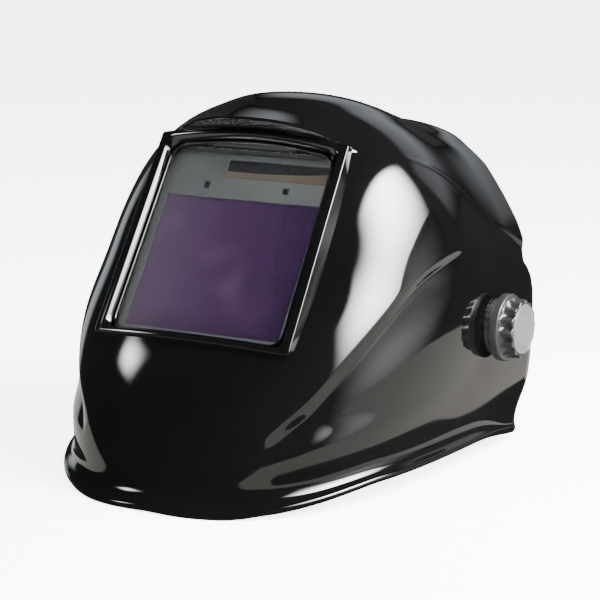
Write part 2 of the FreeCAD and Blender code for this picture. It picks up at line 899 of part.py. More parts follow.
RIVETS = ("rivet_front", "rivet_rear")
for side, turn in SIDES.items():
    axis = LEFT * turn
    foot = (f"{turn} * arm_face", 0, 0)
    disc = cylinder("arm_disc_" + side, "arm_radius", "arm_depth", foot, axis)
    plate = box("arm_plate_" + side, *sided(
        side,
        ("arm_face", "neck_front", "-arm_radius / 2"),
        ("arm_face + arm_depth", 0, "arm_radius / 2"),
    ))
    neck = box("arm_neck_" + side, *sided(
        side,
        ("rail_face + rail_depth - 1", "neck_front", "neck_low"),
        ("arm_face + 1", "neck_front + neck_length", "neck_low + neck_tall"),
    ))
    rail = box("arm_rail_" + side, *sided(
        side,
        ("rail_face", "rail_front", "rail_low"),
        ("rail_face + rail_depth", "rail_rear", "rail_low + rail_tall"),
    ))
    hole_foot = (f"{turn} * (arm_face - 3)", 0, 0)
    hole = cylinder("arm_hole_" + side, "bolt_radius", 30, hole_foot, axis)
    arm = cut("side_arm_" + side, join("arm_whole_" + side, disc, plate, neck, rail), hole)
    node(arm, "side_arm_" + side, head_frame)

    whole = box("block_whole_" + side, *sided(
        side,
        ("block_face", "block_front", "block_low"),
        ("block_face + block_depth", "block_front + block_length", "block_low + block_tall"),
    ))
    channel = box("block_channel_" + side, *sided(
        side,
        ("rail_face - 0.3", "block_front - 1", "rail_low - 0.3"),
        (
            "rail_face + rail_depth + 0.3",
            "block_front + block_length + 1",
            "rail_low + rail_tall + 0.3",
        ),
    ))
    mouth = box("block_mouth_" + side, *sided(
        side,
        ("rail_face + rail_depth - 1", "block_front - 1", "neck_low - 0.3"),
        ("block_face + block_depth + 1", "-3.5", "neck_low + neck_tall + 0.3"),
    ))
    holes = []
    for place in RIVETS:
        foot = (f"{turn} * (block_face - 10)", place, "rivet_rise")
        holes.append(cylinder(f"block_hole_{side}_{place}", "rivet_radius + 0.1", 20, foot, axis))
    block = cut("slide_block_" + side, whole, channel, mouth, *holes)
    node(block, "slide_block_" + side, head_frame)

# The tilt stop turns on the right-hand bolt; a plain spacer fills its place on the left.
stop_disc = cylinder("stop_disc", "arm_radius", "stop_depth", ("-stop_face - stop_depth", 0, 0), LEFT)
stop_lever = box("stop_lever", ("-stop_face - stop_depth", -4, 0), ("-stop_face", 4, "stop_reach"))
stop_hole = cylinder("stop_hole", "bolt_radius + 0.05", 30, ("-stop_face - 15", 0, 0), LEFT)
node(cut("tilt_stop", join("stop_whole", stop_disc, stop_lever), stop_hole), "tilt_stop", head_frame)
spacer = ring_section("bolt_radius", "arm_radius", "stop_face", "stop_depth")
turned("arm_spacer", outward("left"), spacer)


# ---------------------------------------------------------------- headband

def hoop(name, grow, tall):
    """An upright oval body round the front of the head, about the band's middle."""
    foot = (0, "band_middle", f"-({tall}) / 2")
    return oval(name, f"band_half_width + ({grow})", f"band_front_radius + ({grow})", tall, foot)


def drum(name, radius, tall):
    """An upright round body about the rear of the head's middle."""
    return cylinder(name, radius, tall, (0, "rear_middle", f"-({tall}) / 2"))


def ring_part(name, outer, inner, low, high):
    """The part of the ring between two upright bodies that lies within a block."""
    ring = cut(name + "_ring", outer, inner)
    return shared(name, ring, box(name + "_zone", low, high))


front_ring = ring_part(
    "band_front",
    hoop("band_outer", "band_wall", "band_tall"),
    hoop("band_inner", 0, "band_tall"),
    (-120, -120, -30),
    (120, "band_middle", 30),
)
brow_ring = ring_part(
    "band_brow",
    hoop("brow_outer", "band_wall", "brow_tall"),
    hoop("brow_inner", 0, "brow_tall"),
    (-120, -120, -30),
    (120, "-brow_reach", 30),
)
rear_ring = ring_part(
    "band_ends",
    drum("end_outer", "band_half_width + band_wall", "band_tall"),
    drum("end_inner", "band_half_width", "band_tall"),
    (-120, "rear_middle", -30),
    (120, "rear_middle + band_half_width * sin(band_wrap)", 30),
)
straights = [
    box("band_side_" + side, *sided(
        side,
        ("band_half_width", "band_middle", "-band_tall / 2"),
        ("band_half_width + band_wall", "rear_middle", "band_tall / 2"),
    ))
    for side in SIDES
]
node(join("headband", front_ring, brow_ring, rear_ring, *straights), "headband", band_frame)

rivets = []
for side, turn in SIDES.items():
    for place in RIVETS:
        foot = (f"{turn} * (band_half_width - 1)", place, "rivet_rise")
        length = "block_face + 5 - band_half_width"
        rivets.append(cylinder(f"{place}_{side}", "rivet_radius", length, foot, LEFT * turn))
node(group("band_rivets", *rivets), "band_rivets", head_frame)

brow_pad = ring_part(
    "brow_pad",
    hoop("pad_outer", -0.4, "brow_pad_tall"),
    hoop("pad_inner", "-brow_pad_depth", "brow_pad_tall"),
    (-120, -120, -30),
    (120, "brow_pad_reach", 30),
)
node(brow_pad, "brow_pad", band_frame)


def arch(name, trim, width, place):
    """An upright half oval across the head, width wide about place."""
    foot = (0, f"{place} + ({width}) / 2", "crown_base")
    half_width, height = f"crown_half_width - ({trim})", f"crown_height - ({trim})"
    return oval(name, half_width, height, width, foot, Rotation(LEFT, 90))


def crown_strap(name, place):
    """A flat arch over the head, in an upright plane across it."""
    outer = arch(name + "_outer", 0, "crown_strap_width", place)
    inner = arch(name + "_inner", "crown_wall", "crown_strap_width + 2", place)
    above = box(name + "_above", (-120, -120, -4), (120, 120, 150))
    node(shared(name, cut(name + "_arch", outer, inner), above), name, head_frame)


CROWN_PLACES = ("crown_front_place", "crown_rear_place")
crown_strap("crown_strap_front", CROWN_PLACES[0])
crown_strap("crown_strap_rear", CROWN_PLACES[1])
pegs = []
for side, turn in SIDES.items():
    for place in CROWN_PLACES:
        foot = (f"{turn} * crown_half_width", place, "rivet_rise")
        length = "band_half_width + band_wall + 0.3 - crown_half_width"
        pegs.append(cylinder(f"peg_{place}_{side}", "rivet_radius", length, foot, LEFT * turn))
node(group("crown_pegs", *pegs), "crown_pegs", head_frame)


# ---------------------------------------------------------------- ratchet

def tooth(tip, root, half_tip, half_root, depth):
    """One trapezoid tooth that points up, as thick as depth along Y."""
    corners = [(-half_root, root), (-half_tip, tip), (half_tip, tip), (half_root, root)]
    outline = [Vector(across, -depth / 2, up) for across, up in corners]
    return Part.Face(Part.makePolygon(outline + outline[:1])).extrude(Vector(0, depth, 0))


def rack_strap(outer, rack_above):
    """A curved strap with a toothed slot, about the middle of the rear of the head."""
    wall = size("strap_wall")
    tall = size("strap_tall")
    slot = size("slot_half_tall")
    pitch = size("pinion_pitch_radius")
    height = size("tooth_height")
    sweep = size("strap_end") - size("strap_start")
    ring = Part.makeCylinder(outer, tall, Vector(0, 0, -tall / 2), UP, sweep)
    ring = ring.cut(Part.makeCylinder(outer - wall, tall, Vector(0, 0, -tall / 2)))
    ring.rotate(Vector(), UP, size("strap_start"))
    reach = 2 * outer
    side = reach * math.tan(math.radians(size("slot_half_angle")))
    apex = Vector(0, 0, -slot)
    wedge = Part.makePolygon([apex, Vector(-side, reach, -slot), Vector(side, reach, -slot), apex])
    strap = ring.cut(Part.Face(wedge).extrude(Vector(0, 0, 2 * slot)))
    middle = outer - wall / 2
    step = math.degrees(2 * math.pi * pitch / size("pinion_teeth") / middle)
    count = int((size("slot_half_angle") - 1) / step)
    for index in range(-count, count + 1):
        peg = tooth(slot + 0.5, pitch - height / 2 + size("tooth_gap") / 2, 1.1, 0.45, wall * 0.98)
        peg.translate(Vector(0, middle, 0))
        peg.rotate(Vector(), UP, index * step)
        if not rack_above:
            peg = peg.mirror(Vector(), UP)
        strap = strap.fuse(peg)
    return strap


strap_frame = band_frame * Placement(point(0, "rear_middle", 0), Rotation())
straps = {
    "left": (size("strap_outer_radius"), True),
    "right": (size("strap_outer_radius") - size("strap_wall") - 0.3, False),
}
for side, (outer, rack_above) in straps.items():
    strap = doc.addObject("Part::Feature", "rack_strap_" + side)
    shape = rack_strap(outer, rack_above)
    if side == "right":
        shape = shape.mirror(Vector(), LEFT)
    strap.Shape = shape
    node(strap, "rack_strap_" + side, strap_frame)

RATCHET_LOW = ("-ratchet_half_width", 60, "-ratchet_tall / 2")
RATCHET_HIGH = ("ratchet_half_width", 200, "ratchet_tall / 2")
ratchet_base = ring_part(
    "ratchet_base",
    drum("base_outer", "ratchet_base_radius", "ratchet_tall"),
    drum("base_inner", "ratchet_base_radius - ratchet_wall", "ratchet_tall"),
    RATCHET_LOW,
    RATCHET_HIGH,
)
node(ratchet_base, "ratchet_base", band_frame)

cover_whole = ring_part(
    "cover_whole",
    drum("cover_outer", "ratchet_rear_radius", "ratchet_tall"),
    drum("cover_inner", "ratchet_base_radius + 0.1", "ratchet_tall"),
    RATCHET_LOW,
    RATCHET_HIGH,
)
cover_hollow = cut(
    "cover_hollow",
    drum("hollow_outer", "ratchet_cover_radius", "strap_tall + 1"),
    drum("hollow_inner", "ratchet_base_radius - 5", "strap_tall + 1"),
)
shaft_foot = (0, "rear_middle + ratchet_cover_radius - 2", 0)
shaft_hole = cylinder("shaft_hole", "shaft_bore_radius", 40, shaft_foot, BACK)
ratchet_cover = cut("ratchet_cover", cover_whole, cover_hollow, shaft_hole)
node(ratchet_cover, "ratchet_cover", band_frame)

knob_seat = band_frame * Placement(point(0, "rear_middle + ratchet_knob_face", 0), Rotation(UP, BACK))
ratchet_knob = sketched("ratchet_knob")
pad(ratchet_knob, "ratchet_grip", "ratchet_knob_depth", circles=[(0, 0, "ratchet_knob_radius")])
scallops(
    ratchet_knob,
    "ratchet_flute",
    "ratchet_flute_place",
    "ratchet_flute_radius",
    "ratchet_flute_depth",
    "ratchet_knob_depth",
    "ratchet_knob_flutes",
)
pad(
    ratchet_knob,
    "ratchet_shaft",
    "ratchet_knob_face - ratchet_base_radius - 0.6",
    "ratchet_base_radius + 0.6 - ratchet_knob_face",
    circles=[(0, 0, "shaft_radius")],
)
node(ratchet_knob, "ratchet_knob", knob_seat)


def pinion_shape():
    """A toothed wheel on the knob's shaft, in the band frame."""
    pitch = size("pinion_pitch_radius")
    height = size("tooth_height")
    count = int(size("pinion_teeth"))
    depth = 2 * size("strap_wall") + 0.5
    root = pitch - height / 2 - 0.2
    foot = Vector(0, -depth / 2, 0)
    wheel = Part.makeCylinder(root, depth, foot, BACK)
    for index in range(count):
        cog = tooth(pitch + height / 2 - size("tooth_gap") / 2, root - 0.6, 0.45, 1.1, depth)
        cog.rotate(Vector(), BACK, 360 * (index + 0.5) / count)
        wheel = wheel.fuse(cog)
    wheel = wheel.cut(Part.makeCylinder(size("shaft_radius"), depth, foot, BACK))
    return wheel.removeSplitter()


pinion = doc.addObject("Part::Feature", "ratchet_pinion")
pinion.Shape = pinion_shape()
pinion_place = point(0, "rear_middle + strap_outer_radius - strap_wall - 0.15", 0)
node(pinion, "ratchet_pinion", band_frame * Placement(pinion_place, Rotation()))

rear_pad = ring_part(
    "rear_pad",
    drum("rear_pad_outer", "ratchet_base_radius - ratchet_wall - 0.4", "rear_pad_tall"),
    drum("rear_pad_inner", "ratchet_base_radius - ratchet_wall - rear_pad_depth", "rear_pad_tall"),
    ("-rear_pad_half_width", 60, "-rear_pad_tall / 2"),
    ("rear_pad_half_width", 200, "rear_pad_tall / 2"),
)
node(rear_pad, "rear_pad", band_frame)


# ---------------------------------------------------------------- checks and files

doc.recompute()
failed = [item.Name for item in doc.Objects if "Invalid" in item.State or "Error" in item.State]
if failed:
    raise RuntimeError("failed objects: " + ", ".join(failed))
for item in nodes:
    if item.Shape.isNull() or not item.Shape.isValid() or not item.Shape.Solids:
        raise RuntimeError("bad shape: " + item.Label)

os.makedirs("parts", exist_ok=True)
for item in nodes:
    item.Shape.exportStep(os.path.join("parts", item.Label + ".step"))
print(len(nodes), "nodes")
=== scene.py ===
import math

import bmesh
import bpy
import numpy as np
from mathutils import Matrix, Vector
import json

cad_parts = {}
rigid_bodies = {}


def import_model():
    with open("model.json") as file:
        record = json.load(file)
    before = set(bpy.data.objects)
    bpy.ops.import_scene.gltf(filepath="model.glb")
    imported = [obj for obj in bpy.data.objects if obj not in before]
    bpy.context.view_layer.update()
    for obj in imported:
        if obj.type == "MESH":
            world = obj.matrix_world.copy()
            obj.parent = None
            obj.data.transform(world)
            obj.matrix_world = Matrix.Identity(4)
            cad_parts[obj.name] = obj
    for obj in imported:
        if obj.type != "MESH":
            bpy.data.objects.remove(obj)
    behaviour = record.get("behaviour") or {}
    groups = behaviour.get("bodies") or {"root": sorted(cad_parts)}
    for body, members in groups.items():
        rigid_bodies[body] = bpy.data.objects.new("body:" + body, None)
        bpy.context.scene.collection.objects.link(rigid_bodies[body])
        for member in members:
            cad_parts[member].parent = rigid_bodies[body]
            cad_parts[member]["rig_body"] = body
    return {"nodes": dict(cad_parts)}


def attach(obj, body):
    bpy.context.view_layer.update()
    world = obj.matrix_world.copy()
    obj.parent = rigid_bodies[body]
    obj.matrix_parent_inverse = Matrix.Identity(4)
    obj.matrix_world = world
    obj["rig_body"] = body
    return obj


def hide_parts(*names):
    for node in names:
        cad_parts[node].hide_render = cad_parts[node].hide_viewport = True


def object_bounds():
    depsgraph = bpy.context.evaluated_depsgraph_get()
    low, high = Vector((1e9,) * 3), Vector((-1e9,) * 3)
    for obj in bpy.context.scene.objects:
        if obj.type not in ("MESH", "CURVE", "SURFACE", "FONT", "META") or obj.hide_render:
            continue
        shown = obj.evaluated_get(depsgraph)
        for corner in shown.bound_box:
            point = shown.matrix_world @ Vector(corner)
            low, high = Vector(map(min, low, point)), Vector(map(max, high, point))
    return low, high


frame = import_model()
cad_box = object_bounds()

# Lengths in this script are millimetres, in the frame of the CAD model: x across, y to
# the rear, z up. A mesh is scaled to metres as it is made.
MM = 0.001

# Nodes whose flat faces have openings in them.
PIERCED = ("filter_housing_front", "filter_housing_rear", "lens_seal", "retaining_frame")

# Points of a CAD mesh that lie closer than this are one point.
WELD_GAP = 0.02


# ---------------------------------------------------------------- small helpers


def smooth_step(low, high, value):
    """0 below low, 1 above high, and an even S between them."""
    share = np.clip((value - low) / (high - low), 0, 1)
    return share * share * (3 - 2 * share)


def rounded_ramp(distance, width, radius):
    """0 before 0, 1 after width, straight between, with both corners rounded."""

    def bend(x):
        return np.logaddexp(0, x)

    return (bend(distance / radius) - bend((distance - width) / radius)) * radius / width


def monotone(values, places):
    """A smooth curve through values, one per whole number, that never overshoots them."""
    values = np.asarray(values, float)
    rise = np.diff(values, axis=0)
    same = rise[:-1] * rise[1:] > 0
    total = np.where(same, rise[:-1] + rise[1:], 1)
    slopes = np.zeros_like(values)
    slopes[1:-1] = np.where(same, 2 * rise[:-1] * rise[1:] / total, 0)
    slopes[0], slopes[-1] = rise[0], rise[-1]
    start = np.clip(np.floor(places).astype(int), 0, len(values) - 2)
    u = (places - start).reshape((-1,) + (1,) * (values.ndim - 1))
    return (
        (1 + 2 * u) * (1 - u) ** 2 * values[start]
        + u * (1 - u) ** 2 * slopes[start]
        + u * u * (3 - 2 * u) * values[start + 1]
        + u * u * (u - 1) * slopes[start + 1]
    )


def new_piece(name, points, faces, body, finish, sharp=()):
    """A mesh piece from points in mm, riding on a CAD body."""
    mesh = bpy.data.meshes.new(name)
    mesh.from_pydata([tuple(float(c) * MM for c in p) for p in points], [], faces)
    mesh.validate()
    mesh.shade_smooth()
    if sharp:
        wanted = {tuple(sorted(pair)) for pair in sharp}
        marks = mesh.attributes.new("sharp_edge", "BOOLEAN", "EDGE")
        for edge in mesh.edges:
            marks.data[edge.index].value = tuple(sorted(edge.vertices)) in wanted
    piece = bpy.data.objects.new(name, mesh)
    bpy.context.scene.collection.objects.link(piece)
    mesh.materials.append(finish)
    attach(piece, body)
    return piece


def grid_faces(index, flip=False):
    """Quads over a 2-D array of point numbers."""
    corners = (index[:-1, :-1], index[:-1, 1:], index[1:, 1:], index[1:, :-1])
    quads = np.stack(corners, -1).reshape(-1, 4)
    if flip:
        quads = quads[:, ::-1]
    return [tuple(int(i) for i in quad) for quad in quads]


def body_of_node(node):
    return frame["nodes"][node]["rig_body"]


def refined(node, finish, round_over=0.5, angle=32):
    """The CAD node's own shape with its points joined and its edges softly rounded.

    Flat faces are merged to keep the rounding even, but not where they have openings.
    """
    source = frame["nodes"][node]
    built = bmesh.new()
    built.from_mesh(source.data)
    bmesh.ops.remove_doubles(built, verts=built.verts, dist=WELD_GAP * MM)
    if node not in PIERCED:
        bmesh.ops.dissolve_limit(
            built, angle_limit=math.radians(1.5), verts=built.verts, edges=built.edges
        )
    mesh = bpy.data.meshes.new(node + "_finished")
    built.to_mesh(mesh)
    built.free()
    mesh.shade_smooth()
    piece = bpy.data.objects.new(node + "_finished", mesh)
    bpy.context.scene.collection.objects.link(piece)
    if round_over:
        bevel = piece.modifiers.new("round_over", "BEVEL")
        bevel.width = round_over * MM
        bevel.segments = 2
        bevel.limit_method = "ANGLE"
        bevel.angle_limit = math.radians(angle)
        bevel.harden_normals = True
    even = piece.modifiers.new("even_normals", "WEIGHTED_NORMAL")
    even.keep_sharp = True
    mesh.materials.clear()
    mesh.materials.append(finish)
    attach(piece, body_of_node(node))
    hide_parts(node)


# ---------------------------------------------------------------- finishes


class Finish:
    """A material whose colour, roughness and bump come from nodes on object space."""

    def __init__(self, name, roughness=0.5, metallic=0.0, **sockets):
        self.material = bpy.data.materials.new(name)
        self.material.use_nodes = True
        self.tree = self.material.node_tree
        self.shader = self.tree.nodes["Principled BSDF"]
        self.shader.inputs["Roughness"].default_value = roughness
        self.shader.inputs["Metallic"].default_value = metallic
        for socket, value in sockets.items():
            self.shader.inputs[socket.replace("_", " ")].default_value = value
        self.place = self.node("ShaderNodeTexCoord").outputs["Object"]

    def node(self, kind, **settings):
        made = self.tree.nodes.new(kind)
        for key, value in settings.items():
            setattr(made, key, value)
        return made

    def link(self, start, end):
        self.tree.links.new(start, end)

    def noise(self, scale, detail=4, stretch=None):
        """Cloudy values from 0 to 1; scale is in features per metre."""
        made = self.node("ShaderNodeTexNoise")
        made.inputs["Scale"].default_value = scale
        made.inputs["Detail"].default_value = detail
        self.link(self.stretched(stretch), made.inputs["Vector"])
        return made.outputs["Fac"]

    def cells(self, scale, stretch=None):
        made = self.node("ShaderNodeTexVoronoi")
        made.inputs["Scale"].default_value = scale
        self.link(self.stretched(stretch), made.inputs["Vector"])
        return made.outputs["Distance"]

    def bands(self, scale, direction, distortion=0.0):
        made = self.node("ShaderNodeTexWave", bands_direction=direction)
        made.inputs["Scale"].default_value = scale
        made.inputs["Distortion"].default_value = distortion
        self.link(self.place, made.inputs["Vector"])
        return made.outputs["Fac"]

    def stretched(self, stretch):
        if stretch is None:
            return self.place
        mapping = self.node("ShaderNodeMapping")
        mapping.inputs["Scale"].default_value = stretch
        self.link(self.place, mapping.inputs["Vector"])
        return mapping.outputs["Vector"]

    def spread(self, value, low, high, start=0.3, end=0.7):
        """value's range start..end becomes low..high."""
        made = self.node("ShaderNodeMapRange")
        for socket, number in zip(
            ("From Min", "From Max", "To Min", "To Max"), (start, end, low, high)
        ):
            made.inputs[socket].default_value = number
        self.link(value, made.inputs["Value"])
        return made.outputs["Result"]

    def maths(self, operation, a, b):
        made = self.node("ShaderNodeMath", operation=operation)
        for socket, value in zip(made.inputs, (a, b)):
            if isinstance(value, (int, float)):
                socket.default_value = value
            else:
                self.link(value, socket)
        return made.outputs[0]

    def edges(self, low=0.5, high=0.62):
        """1 on outside corners, where a piece wears first."""
        point = self.node("ShaderNodeNewGeometry").outputs["Pointiness"]
        return self.spread(point, 0, 1, low, high)

    def colours(self, value, *stops):
        ramp = self.node("ShaderNodeValToRGB")
        while len(ramp.color_ramp.elements) < len(stops):
            ramp.color_ramp.elements.new(0.5)
        for element, (place, colour) in zip(ramp.color_ramp.elements, stops):
            element.position = place
            element.color = (*colour, 1)
        self.link(value, ramp.inputs["Fac"])
        self.link(ramp.outputs["Color"], self.shader.inputs["Base Color"])

    def rough(self, value):
        self.link(value, self.shader.inputs["Roughness"])

    def bump(self, value, depth):
        """Relief of that depth in metres."""
        made = self.node("ShaderNodeBump")
        made.inputs["Strength"].default_value = 1
        made.inputs["Distance"].default_value = depth
        self.link(value, made.inputs["Height"])
        self.link(made.outputs["Normal"], self.shader.inputs["Normal"])


def grey(level, tint=(1, 1, 1)):
    return tuple(level * t for t in tint)


def gloss_black():
    """High-gloss black moulding: faint flow marks, dust and hairline scratches."""
    f = Finish("gloss_black", 0.06, IOR=1.52)
    f.colours(f.noise(14, 5), (0.35, grey(0.0009)), (0.65, grey(0.0014, (1, 1.0, 1.06))))
    scratch = f.noise(60, 8, (1, 9, 1.5))
    haze = f.spread(f.noise(22, 6), 0.045, 0.075)
    hair = f.spread(scratch, 0, 0.05, 0.62, 0.72)
    f.rough(f.maths("ADD", haze, hair))
    f.bump(f.noise(9, 2), 0.00003)
    return f.material


def moulded(name, level, tint=(1, 1, 1), roughness=0.42, grain=900, depth=0.00006):
    """Fine-grained moulded plastic with paler rubbed corners."""
    f = Finish(name, roughness)
    mix = f.maths("ADD", f.spread(f.noise(40, 6), 0.0, 0.6), f.maths("MULTIPLY", f.edges(), 0.4))
    f.colours(mix, (0.0, grey(level * 0.8, tint)), (0.6, grey(level * 1.15, tint)),
              (1.0, grey(level * 1.9 + 0.01, tint)))
    f.rough(f.spread(f.noise(70, 5), roughness - 0.07, roughness + 0.09))
    f.bump(f.noise(grain, 3), depth)
    return f.material


def metal(name, colour, roughness=0.3, turned=(1, 1, 1)):
    """Plated metal with fine tool marks and dull patches."""
    f = Finish(name, roughness, 1.0)
    f.colours(f.noise(60, 6), (0.3, tuple(c * 0.82 for c in colour)), (0.7, colour))
    f.rough(f.spread(f.noise(240, 6, turned), roughness - 0.1, roughness + 0.15))
    f.bump(f.noise(500, 4, turned), 0.00002)
    return f.material


def clear_cover():
    """Clear polycarbonate sheet with a little haze."""
    f = Finish("clear_cover", 0.02, IOR=1.45, Transmission_Weight=1.0)
    f.colours(f.noise(30, 4), (0.3, (0.93, 0.95, 0.96)), (0.7, (0.97, 0.985, 0.99)))
    f.rough(f.spread(f.noise(50, 6), 0.01, 0.035))
    f.bump(f.noise(12, 2), 0.00008)
    return f.material


def filter_glass():
    """Dark purple filter glass, with painted reflection: paler and greyer towards -x, towards
    its foot and in soft pale patches.
    """
    f = Finish("filter_glass", 0.12, IOR=1.5, Coat_Weight=0.6, Coat_Roughness=0.03)
    across = f.node("ShaderNodeSeparateXYZ")
    f.link(f.place, across.inputs["Vector"])
    # painted reflection: these lay paler, greyer purple towards -x, towards the foot of the
    # glass and in soft pale patches
    side = f.spread(across.outputs["X"], 0.0, 0.75, -0.05, 0.05)
    rise = f.spread(across.outputs["Z"], 0.3, 0.0, 0.085, 0.13)
    reflection_patches = f.spread(f.noise(26, 1.5), 0.0, 0.25, 0.52, 0.66)
    total = f.maths("SUBTRACT", side, f.maths("ADD", reflection_patches, f.maths("MULTIPLY", rise, 0.3)))
    # the first stops are the deep purple with a painted grey reflection over it
    f.colours(total, (0.0, (0.062, 0.04, 0.07)), (0.35, (0.036, 0.016, 0.046)),
              (0.8, (0.02, 0.006, 0.03)))
    f.rough(f.spread(f.noise(90, 5), 0.1, 0.16))
    f.bump(f.noise(40, 3), 0.000004)
    return f.material


def solar_glass():
    """Thin-film solar cell: brown film with fine scribed lines under glass."""
    f = Finish("solar_glass", 0.2, IOR=1.5, Coat_Weight=0.8, Coat_Roughness=0.04)
    place = f.node("ShaderNodeSeparateXYZ")
    f.link(f.place, place.inputs["Vector"])
    bow = f.maths("MULTIPLY", place.outputs["X"], place.outputs["X"])
    height = f.maths("SUBTRACT", place.outputs["Z"], f.maths("MULTIPLY", bow, 0.9))
    tone = f.spread(height, 0, 1, 0.1685, 0.1700)
    f.colours(tone, (0.0, (0.085, 0.066, 0.048)), (0.45, (0.075, 0.058, 0.042)),
              (0.5, (0.3, 0.27, 0.22)), (0.56, (0.02, 0.018, 0.017)),
              (1.0, (0.013, 0.013, 0.014)))
    f.rough(f.spread(f.noise(80, 5), 0.14, 0.26))
    f.bump(f.bands(60, "X"), 0.00002)
    return f.material


def sensor_glass():
    f = Finish("sensor_glass", 0.1, IOR=1.5, Coat_Weight=1.0, Coat_Roughness=0.03)
    f.colours(f.cells(1500), (0.1, grey(0.06)), (0.45, grey(0.004)))
    f.rough(f.spread(f.noise(400, 4), 0.06, 0.2))
    f.bump(f.cells(1500), 0.00006)
    return f.material


def circuit():
    f = Finish("circuit", 0.45)
    f.colours(f.cells(420), (0.08, (0.3, 0.27, 0.12)), (0.16, (0.012, 0.06, 0.028)),
              (0.8, (0.008, 0.04, 0.02)))
    f.rough(f.spread(f.noise(200, 4), 0.3, 0.55))
    f.bump(f.cells(420), 0.0003)
    return f.material


def rubber():
    f = Finish("rubber", 0.75)
    f.colours(f.noise(60, 6), (0.3, grey(0.008)), (0.7, grey(0.018)))
    f.rough(f.spread(f.noise(120, 5), 0.62, 0.85))
    f.bump(f.noise(1100, 3), 0.00008)
    return f.material


def pad_cloth():
    """Knitted terry sweat cloth: looped pile, faint stains and lint."""
    f = Finish("pad_cloth", 0.95, Sheen_Weight=0.5, Sheen_Roughness=0.5)
    wear = f.maths("ADD", f.spread(f.noise(25, 5), 0, 0.55), f.spread(f.noise(900, 2), 0, 0.45))
    f.colours(wear, (0.1, grey(0.012)), (0.6, grey(0.03, (1, 1, 1.06))), (1.0, grey(0.07)))
    f.rough(f.spread(f.noise(300, 4), 0.85, 1.0))
    loops = f.maths("MULTIPLY", f.bands(520, "X", 1.5), f.bands(520, "Z", 1.5))
    f.bump(f.maths("ADD", loops, f.maths("MULTIPLY", f.noise(1400, 3), 0.6)), 0.0006)
    return f.material


def pad_foam():
    """Open-cell foam under a thin brushed skin."""
    f = Finish("pad_foam", 0.9, Sheen_Weight=0.3, Sheen_Roughness=0.6)
    f.colours(f.cells(1300), (0.0, grey(0.006)), (0.35, grey(0.03)), (0.8, grey(0.045)))
    f.rough(f.spread(f.noise(300, 4), 0.8, 0.98))
    f.bump(f.cells(1300), 0.0005)
    return f.material


FINISHES = {
    "shell": gloss_black(),
    "housing": moulded("housing_grey", 0.05, (0.95, 1.0, 1.02), 0.5, 1200, 0.00005),
    "black": moulded("black_nylon", 0.011, roughness=0.4),
    "knob": moulded("knob_black", 0.010, roughness=0.3, grain=1500, depth=0.00003),
    "cap": moulded("cap_grey", 0.05, (0.98, 1, 1.02), 0.34, 1500, 0.00003),
    "grey": moulded("grey_nylon", 0.12, roughness=0.45),
    "band": moulded("band_nylon", 0.018, roughness=0.48, grain=700, depth=0.00009),
    "red": moulded("marker_red", 0.35, (1.0, 0.09, 0.06), 0.4),
    "cover": clear_cover(),
    "filter": filter_glass(),
    "solar": solar_glass(),
    "sensor": sensor_glass(),
    "circuit": circuit(),
    "rubber": rubber(),
    "cloth": pad_cloth(),
    "foam": pad_foam(),
    "nylon": moulded("washer_nylon", 0.55, (1, 0.98, 0.92), 0.4),
    "steel": metal("bright_steel", (0.62, 0.62, 0.6), 0.28),
    "cell": metal("cell_steel", (0.7, 0.69, 0.66), 0.22, (1, 1, 6)),
    "brass": metal("brass_nut", (0.72, 0.52, 0.24), 0.3),
}


# ---------------------------------------------------------------- the shell's surface

PIVOT = np.array((0, 34.9, 77))
HALF_WIDTH = 112.7
WALL = 2.4

# The shell is a ring of superellipses about the pivot axis. For directions in degrees up
# from straight ahead: how far the middle stands from that axis, and how square it is.
PROFILE_ANGLES = (-40, -20, 0, 20, 40, 60, 80, 100, 125, 180, 240)
PROFILE_RADII = (241, 204, 162, 133.5, 139, 148, 133, 120, 129, 265, 177)
SQUARE_ANGLES = (-40, 10, 50, 90, 180)
SQUARENESS = (1.95, 3.45, 2.66, 2.19, 3.0)
# Both are averaged over about this many degrees to either side.
EASE = 7.0
EASE_OFFSETS = np.arange(-15, 16, 3)


def around(angles, values, angle):
    """values at angles, joined by a smooth curve that closes after a full turn."""
    first = angles[0]
    before, after = [a - 360 for a in angles[-2:]], [a + 360 for a in angles[:3]]
    places = np.array(before + list(angles) + after)
    levels = np.array(list(values[-2:]) + list(values) + list(values[:3]))
    angle = (angle - first) % 360 + first
    k = np.searchsorted(places, angle, side="right") - 1
    slopes = (levels[2:] - levels[:-2]) / (places[2:] - places[:-2])
    gap = places[k + 1] - places[k]
    u = (angle - places[k]) / gap
    return (
        (1 + 2 * u) * (1 - u) ** 2 * levels[k]
        + u * (1 - u) ** 2 * slopes[k - 1] * gap
        + u * u * (3 - 2 * u) * levels[k + 1]
        + u * u * (u - 1) * slopes[k] * gap
    )


def eased(angles, values, angle):
    """The curve of around(), averaged over a few degrees so that its bend changes evenly."""
    weights = np.exp(-((EASE_OFFSETS / EASE) ** 2) / 2)
    total = sum(w * around(angles, values, angle + o) for w, o in zip(weights, EASE_OFFSETS))
    return total / weights.sum()


def reach(points):
    """How far along each line from the pivot's centre the surface lies, 1 being on it."""
    away = points - PIVOT
    angle = np.degrees(np.arctan2(away[..., 2], -away[..., 1]))
    radius = eased(PROFILE_ANGLES, PROFILE_RADII, angle)
    power = eased(SQUARE_ANGLES, SQUARENESS, angle)
    across = (np.abs(away[..., 0]) / HALF_WIDTH) ** power
    return (across + (np.hypot(away[..., 1], away[..., 2]) / radius) ** power) ** (-1 / power)


def on_surface(points):
    return PIVOT + (points - PIVOT) * reach(points)[..., None]


def outward(points):
    """The surface's normal at points that lie on it."""
    step = 0.5
    slope = np.stack(
        [reach(points - step * axis) - reach(points + step * axis) for axis in np.eye(3)], -1
    )
    return slope / np.linalg.norm(slope, axis=-1, keepdims=True)


# ---------------------------------------------------------------- the shell's layout

